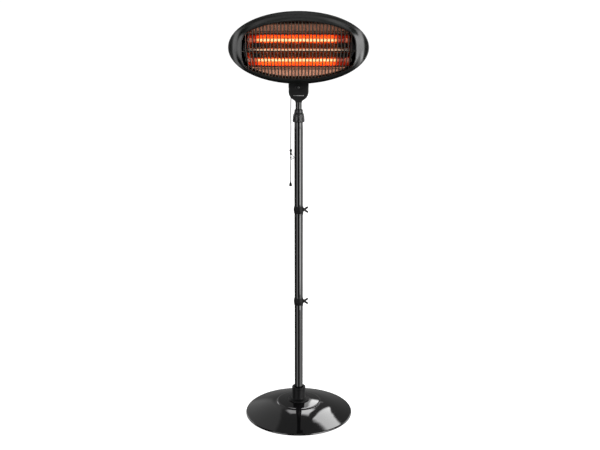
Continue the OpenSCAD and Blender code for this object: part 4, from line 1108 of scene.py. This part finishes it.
def strip_ring(d, y):
    return [(p[0], y, p[2]) for p in oval(GA + d, GB + d, y, GC, 180, GL + d)]


k = Kit()
k.add(loft([strip_ring(-1.6, GY - 1.0), strip_ring(-1.2, GY - 1.4), strip_ring(1.2, GY - 1.4), strip_ring(1.6, GY - 1.0), strip_ring(1.6, GY + 1.0), strip_ring(1.2, GY + 1.4),
            strip_ring(-1.2, GY + 1.4), strip_ring(-1.6, GY + 1.0)], closed=True))


def reach(x):
    return GB * math.sqrt(1 - (min(abs(x), GA - 1) / GA) ** 2) - 0.2


for i in range(-15, 16):
    xt, xb = i * 12.4, i * 12.4 * 0.94
    top_z, bot_z = GC + reach(xt), GC - reach(xb)
    path = []
    for j in range(15):
        t = j / 14
        z = top_z + (bot_z - top_z) * t
        s = max(0.0, min(1.0, (LZ + 8 - z) / (LZ + 8 - bot_z)))
        x = xt + (xb - xt) * (s * s * (3 - 2 * s) * 0.5 + s * 0.5)
        crown = 1.2 * (1 - (2 * t - 1) ** 2) ** 0.5 if 0 < t < 1 else 0.0
        path.append((x, GY - crown, z))
    k.add(tube(path, WR, 10))
for dz, xe in ((54.7, GL - 10), (-4.1, GL - 0.8), (-56.1, GL - 10)):
    pts = [(-xe, GY + 0.6, LZ + dz), (-xe + 3, GY + 1.5, LZ + dz)] + [(-xe + 6 + (2 * xe - 12) * i / 12, GY + 1.9 * WR - 1.15 * math.sqrt(max(0.0, 1 - ((-xe + 6 + (2 * xe - 12) * i / 12) / xe) ** 2)), LZ + dz) for i in range(13)] + [(xe - 3, GY + 1.5, LZ + dz), (xe, GY + 0.6, LZ + dz)]
    k.add(tube(pts, WR, 10))
guard = build("wire_guard_fine", k, 50)
piece(guard, "guard_black", "head", ["wire_guard"])

# ---------------------------------------------------------------- cable gland
k = Kit()
gx, gz = 66, 1384
k.add(([(gx + p[0], p[2], gz + p[1]) for p in lathe([(3.6, 13), (6.6, 13), (7, 13.5), (6.7, 14), (7, 14.5), (6.7, 15), (7, 15.5), (7, 22.6), (3.6, 22.6)], 48, closed=True)[0]],
       lathe([(3.6, 13), (6.6, 13), (7, 13.5), (6.7, 14), (7, 14.5), (6.7, 15), (7, 15.5), (7, 22.6), (3.6, 22.6)], 48, closed=True)[1]))
hexg = [(math.cos(TAU * i / 6), math.sin(TAU * i / 6)) for i in range(6)]
k.add(loft([[(gx + q * c, y, gz + q * d) for c, d in hexg] for y, q in ((22.25, 9.6), (22.6, 10), (27.8, 10), (28.2, 9.6))]))
ribs = lambda t, r, z: r + (0.42 * max(0.0, math.cos(12 * t)) ** 2 if 5.0 < r else 0.0)
v, f = lathe([(3.6, 28.0), (8.2, 28.0), (8.2, 28.6), (8.1, 30), (7.4, 34), (6.8, 37), (6.2, 39.2), (5.4, 40.0), (4.4, 40.2), (3.6, 39.8)], 96, closed=True, radius=ribs)
k.add(([(gx + p[0], p[2], gz + p[1]) for p in v], f))
gl = build("cord_gland_fine", k, 34)
piece(gl, "black_plastic", "head", ["cord_gland"])

# ---------------------------------------------------------------- finish for the CAD nodes that stay
slots = {}
for s in frame["record"]["subparts"]:
    slots[s["node"]] = s.get("material_slot")
for name, ob in frame["nodes"].items():
    m = MAT.get(slots.get(name) or "", MAT["black_plastic"])
    if not ob.material_slots:
        ob.data.materials.append(m)
    for s in ob.material_slots:
        s.link = "OBJECT"
        s.material = m

# ---------------------------------------------------------------- floor
fl = bpy.data.meshes.new("floor")
R = 40.0
ring = [(R * math.cos(TAU * i / 64), R * math.sin(TAU * i / 64), 0.0) for i in range(64)]
fl.from_pydata(ring, [], [list(range(64))])
floor = bpy.data.objects.new("floor", fl)
scene.collection.objects.link(floor)
fm = bpy.data.materials.new("pale_floor")
fm.use_nodes = True
t = fm.node_tree
t.nodes.clear()
n = Net(t)
out = n.node("ShaderNodeOutputMaterial")
seen = n.node("ShaderNodeBsdfDiffuse")
seen.inputs["Color"].default_value = (0.55, 0.55, 0.55, 1)
glow = n.node("ShaderNodeEmission")
glow.inputs["Color"].default_value = (1, 1, 1, 1)
glow.inputs["Strength"].default_value = 0.93
both = n.node("ShaderNodeAddShader")
t.links.new(seen.outputs[0], both.inputs[0])
t.links.new(glow.outputs[0], both.inputs[1])
dim = n.node("ShaderNodeBsdfDiffuse")
dim.inputs["Color"].default_value = (0.16, 0.16, 0.16, 1)
lp = n.node("ShaderNodeLightPath")
mix = n.node("ShaderNodeMixShader")
t.links.new(lp.outputs["Is Camera Ray"], mix.inputs[0])
t.links.new(dim.outputs[0], mix.inputs[1])
t.links.new(both.outputs[0], mix.inputs[2])
t.links.new(mix.outputs[0], out.inputs["Surface"])
fl.materials.append(fm)
floor.visible_glossy = False
floor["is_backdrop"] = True

# ---------------------------------------------------------------- studio light
world = bpy.data.worlds.new("studio")
scene.world = world
world.use_nodes = True
t = world.node_tree
t.nodes.clear()
n = Net(t)
out = n.node("ShaderNodeOutputWorld")
tc = n.node("ShaderNodeTexCoord")
sep = n.node("ShaderNodeSeparateXYZ")
n.put(sep.inputs[0], tc.outputs["Generated"])
X, Y, Z = sep.outputs
deg = 180.0 / math.pi
az = n.math("MULTIPLY", n.math("ARCTAN2", X, n.math("MULTIPLY", Y, -1.0)), deg)   # 0 towards the camera, + to the right
baz = n.math("MULTIPLY", n.math("ARCTAN2", X, Y), deg)                             # 0 behind the heater, + to the right
el = n.math("MULTIPLY", n.math("ARCSINE", Z), deg)


def box(a, a0, a1, e0, e1, power, soft_a=3.0, soft_e=3.0):
    m1 = n.ramp(a, a0 - soft_a, a0 + soft_a, 0.0, 1.0, True)
    m2 = n.ramp(a, a1 - soft_a, a1 + soft_a, 1.0, 0.0, True)
    m3 = n.ramp(el, e0 - soft_e, e0 + soft_e, 0.0, 1.0, True)
    m4 = n.ramp(el, e1 - soft_e, e1 + soft_e, 1.0, 0.0, True)
    return n.math("MULTIPLY", n.math("MULTIPLY", n.math("MULTIPLY", m1, m2), n.math("MULTIPLY", m3, m4)), power)


LIGHTS = [
    # azimuth from the front, elevation, strength: softboxes beside the camera
    (az, -55, -24, -34, 27, 2.3, 3, 7),
    (az, 28, 80, -34, 27, 2.2, 2.5, 7),
    (az, 27, 66, 0, 28, 4.0, 3, 5),
    (az, 30, 54, -17, -3, 7.0, 2.5, 1.5),
    (az, -58, -26, 0, 26, 0.5, 3, 5),
    (az, -14, 14, 51, 55, 1.6, 5, 1.5),
    (az, -44, -18, 46, 57, 1.1, 6, 4),
    (az, 18, 46, 46, 57, 1.9, 6, 4),
    (baz, -75, -32, -2, 28, 1.7, 5, 3),
    (baz, 32, 75, -2, 28, 1.2, 5, 3),
    (az, 80, 145, -34, 18, 0.8, 8, 7),
    # a small one above and below the camera
    (az, -9, 9, 28, 42, 1.2, 4, 4),
    (az, -13, 3, -46, -26, 0.5, 4, 4),
    # behind: strips near the middle
    (baz, -10.5, 0, 44, 53, 2.4, 2, 2),
    (baz, 0, 12.5, 43, 55, 5.2, 1.2, 2.5),
    (baz, 6.5, 12.5, 25, 43, 4.8, 1.0, 2),
    (baz, 1.5, 6.5, 25, 43, 1.4, 1.0, 2),
]
# behind on the right: a panel with slanting lower and upper edges
edge = n.math("SUBTRACT", el, n.math("ADD", n.math("MULTIPLY", n.math("SUBTRACT", baz, 24.0), 1.4), 35.0))
over = n.math("ADD", el, n.math("MULTIPLY", n.math("SUBTRACT", baz, 21.0), 0.35))
panel = n.math("MULTIPLY", n.math("MULTIPLY", n.ramp(baz, 18.8, 20.6, 0.0, 1.0, True), n.ramp(baz, 46.0, 52.0, 1.0, 0.0, True)),
               n.math("MULTIPLY", n.ramp(edge, -1.2, 1.2, 0.0, 1.0, True), n.math("MULTIPLY", n.ramp(over, 56.5, 60.0, 1.0, 0.0, True), 5.4)))
# behind on the left: a dim wall with a slanting edge
wall_edge = n.math("ADD", n.math("ADD", baz, 13.0), n.math("MULTIPLY", n.math("MAXIMUM", n.math("SUBTRACT", el, 40.0), 0.0), 0.7))
wall = n.math("MULTIPLY", n.math("MULTIPLY", n.ramp(wall_edge, -2.5, 2.5, 1.0, 0.0, True), n.ramp(baz, -90.0, -75.0, 0.0, 1.0, True)),
              n.math("MULTIPLY", n.ramp(el, -4.0, 6.0, 0.0, 1.0, True), n.math("MULTIPLY", n.ramp(el, 58.0, 68.0, 1.0, 0.0, True), 0.22)))
ambient = n.ramp(Y, -0.2, 0.3, 0.025, 0.16, True)
total = n.math("ADD", n.math("ADD", panel, wall), ambient)
for spec in LIGHTS:
    total = n.math("ADD", box(spec[0], *spec[1:6], spec[6], spec[7]), total)
bg = n.node("ShaderNodeBackground")
n.put(bg.inputs["Color"], (1.0, 1.0, 1.0, 1.0))
n.put(bg.inputs["Strength"], total)
white = n.node("ShaderNodeBackground")
white.inputs["Color"].default_value = (1, 1, 1, 1)
white.inputs["Strength"].default_value = 1.05
lp = n.node("ShaderNodeLightPath")
mix = n.node("ShaderNodeMixShader")
t.links.new(lp.outputs["Is Camera Ray"], mix.inputs[0])
t.links.new(bg.outputs[0], mix.inputs[1])
t.links.new(white.outputs[0], mix.inputs[2])
t.links.new(mix.outputs[0], out.inputs["Surface"])


def area(name, loc, target, size, power, color=(1, 1, 1)):
    L = bpy.data.lights.new(name, "AREA")
    L.shape = "RECTANGLE"
    L.size, L.size_y = size
    L.energy = power
    L.color = color
    o = bpy.data.objects.new(name, L)
    scene.collection.objects.link(o)
    o.location = loc
    o.rotation_euler = (Vector(target) - Vector(loc)).to_track_quat("-Z", "Y").to_euler()
    o.visible_camera = False
    o.visible_glossy = False
    return o


area("overhead", (0.0, -0.2, 4.0), (0, 0, 0), (3.0, 3.0), 30.0)

# ---------------------------------------------------------------- sizes and end
lo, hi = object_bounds()
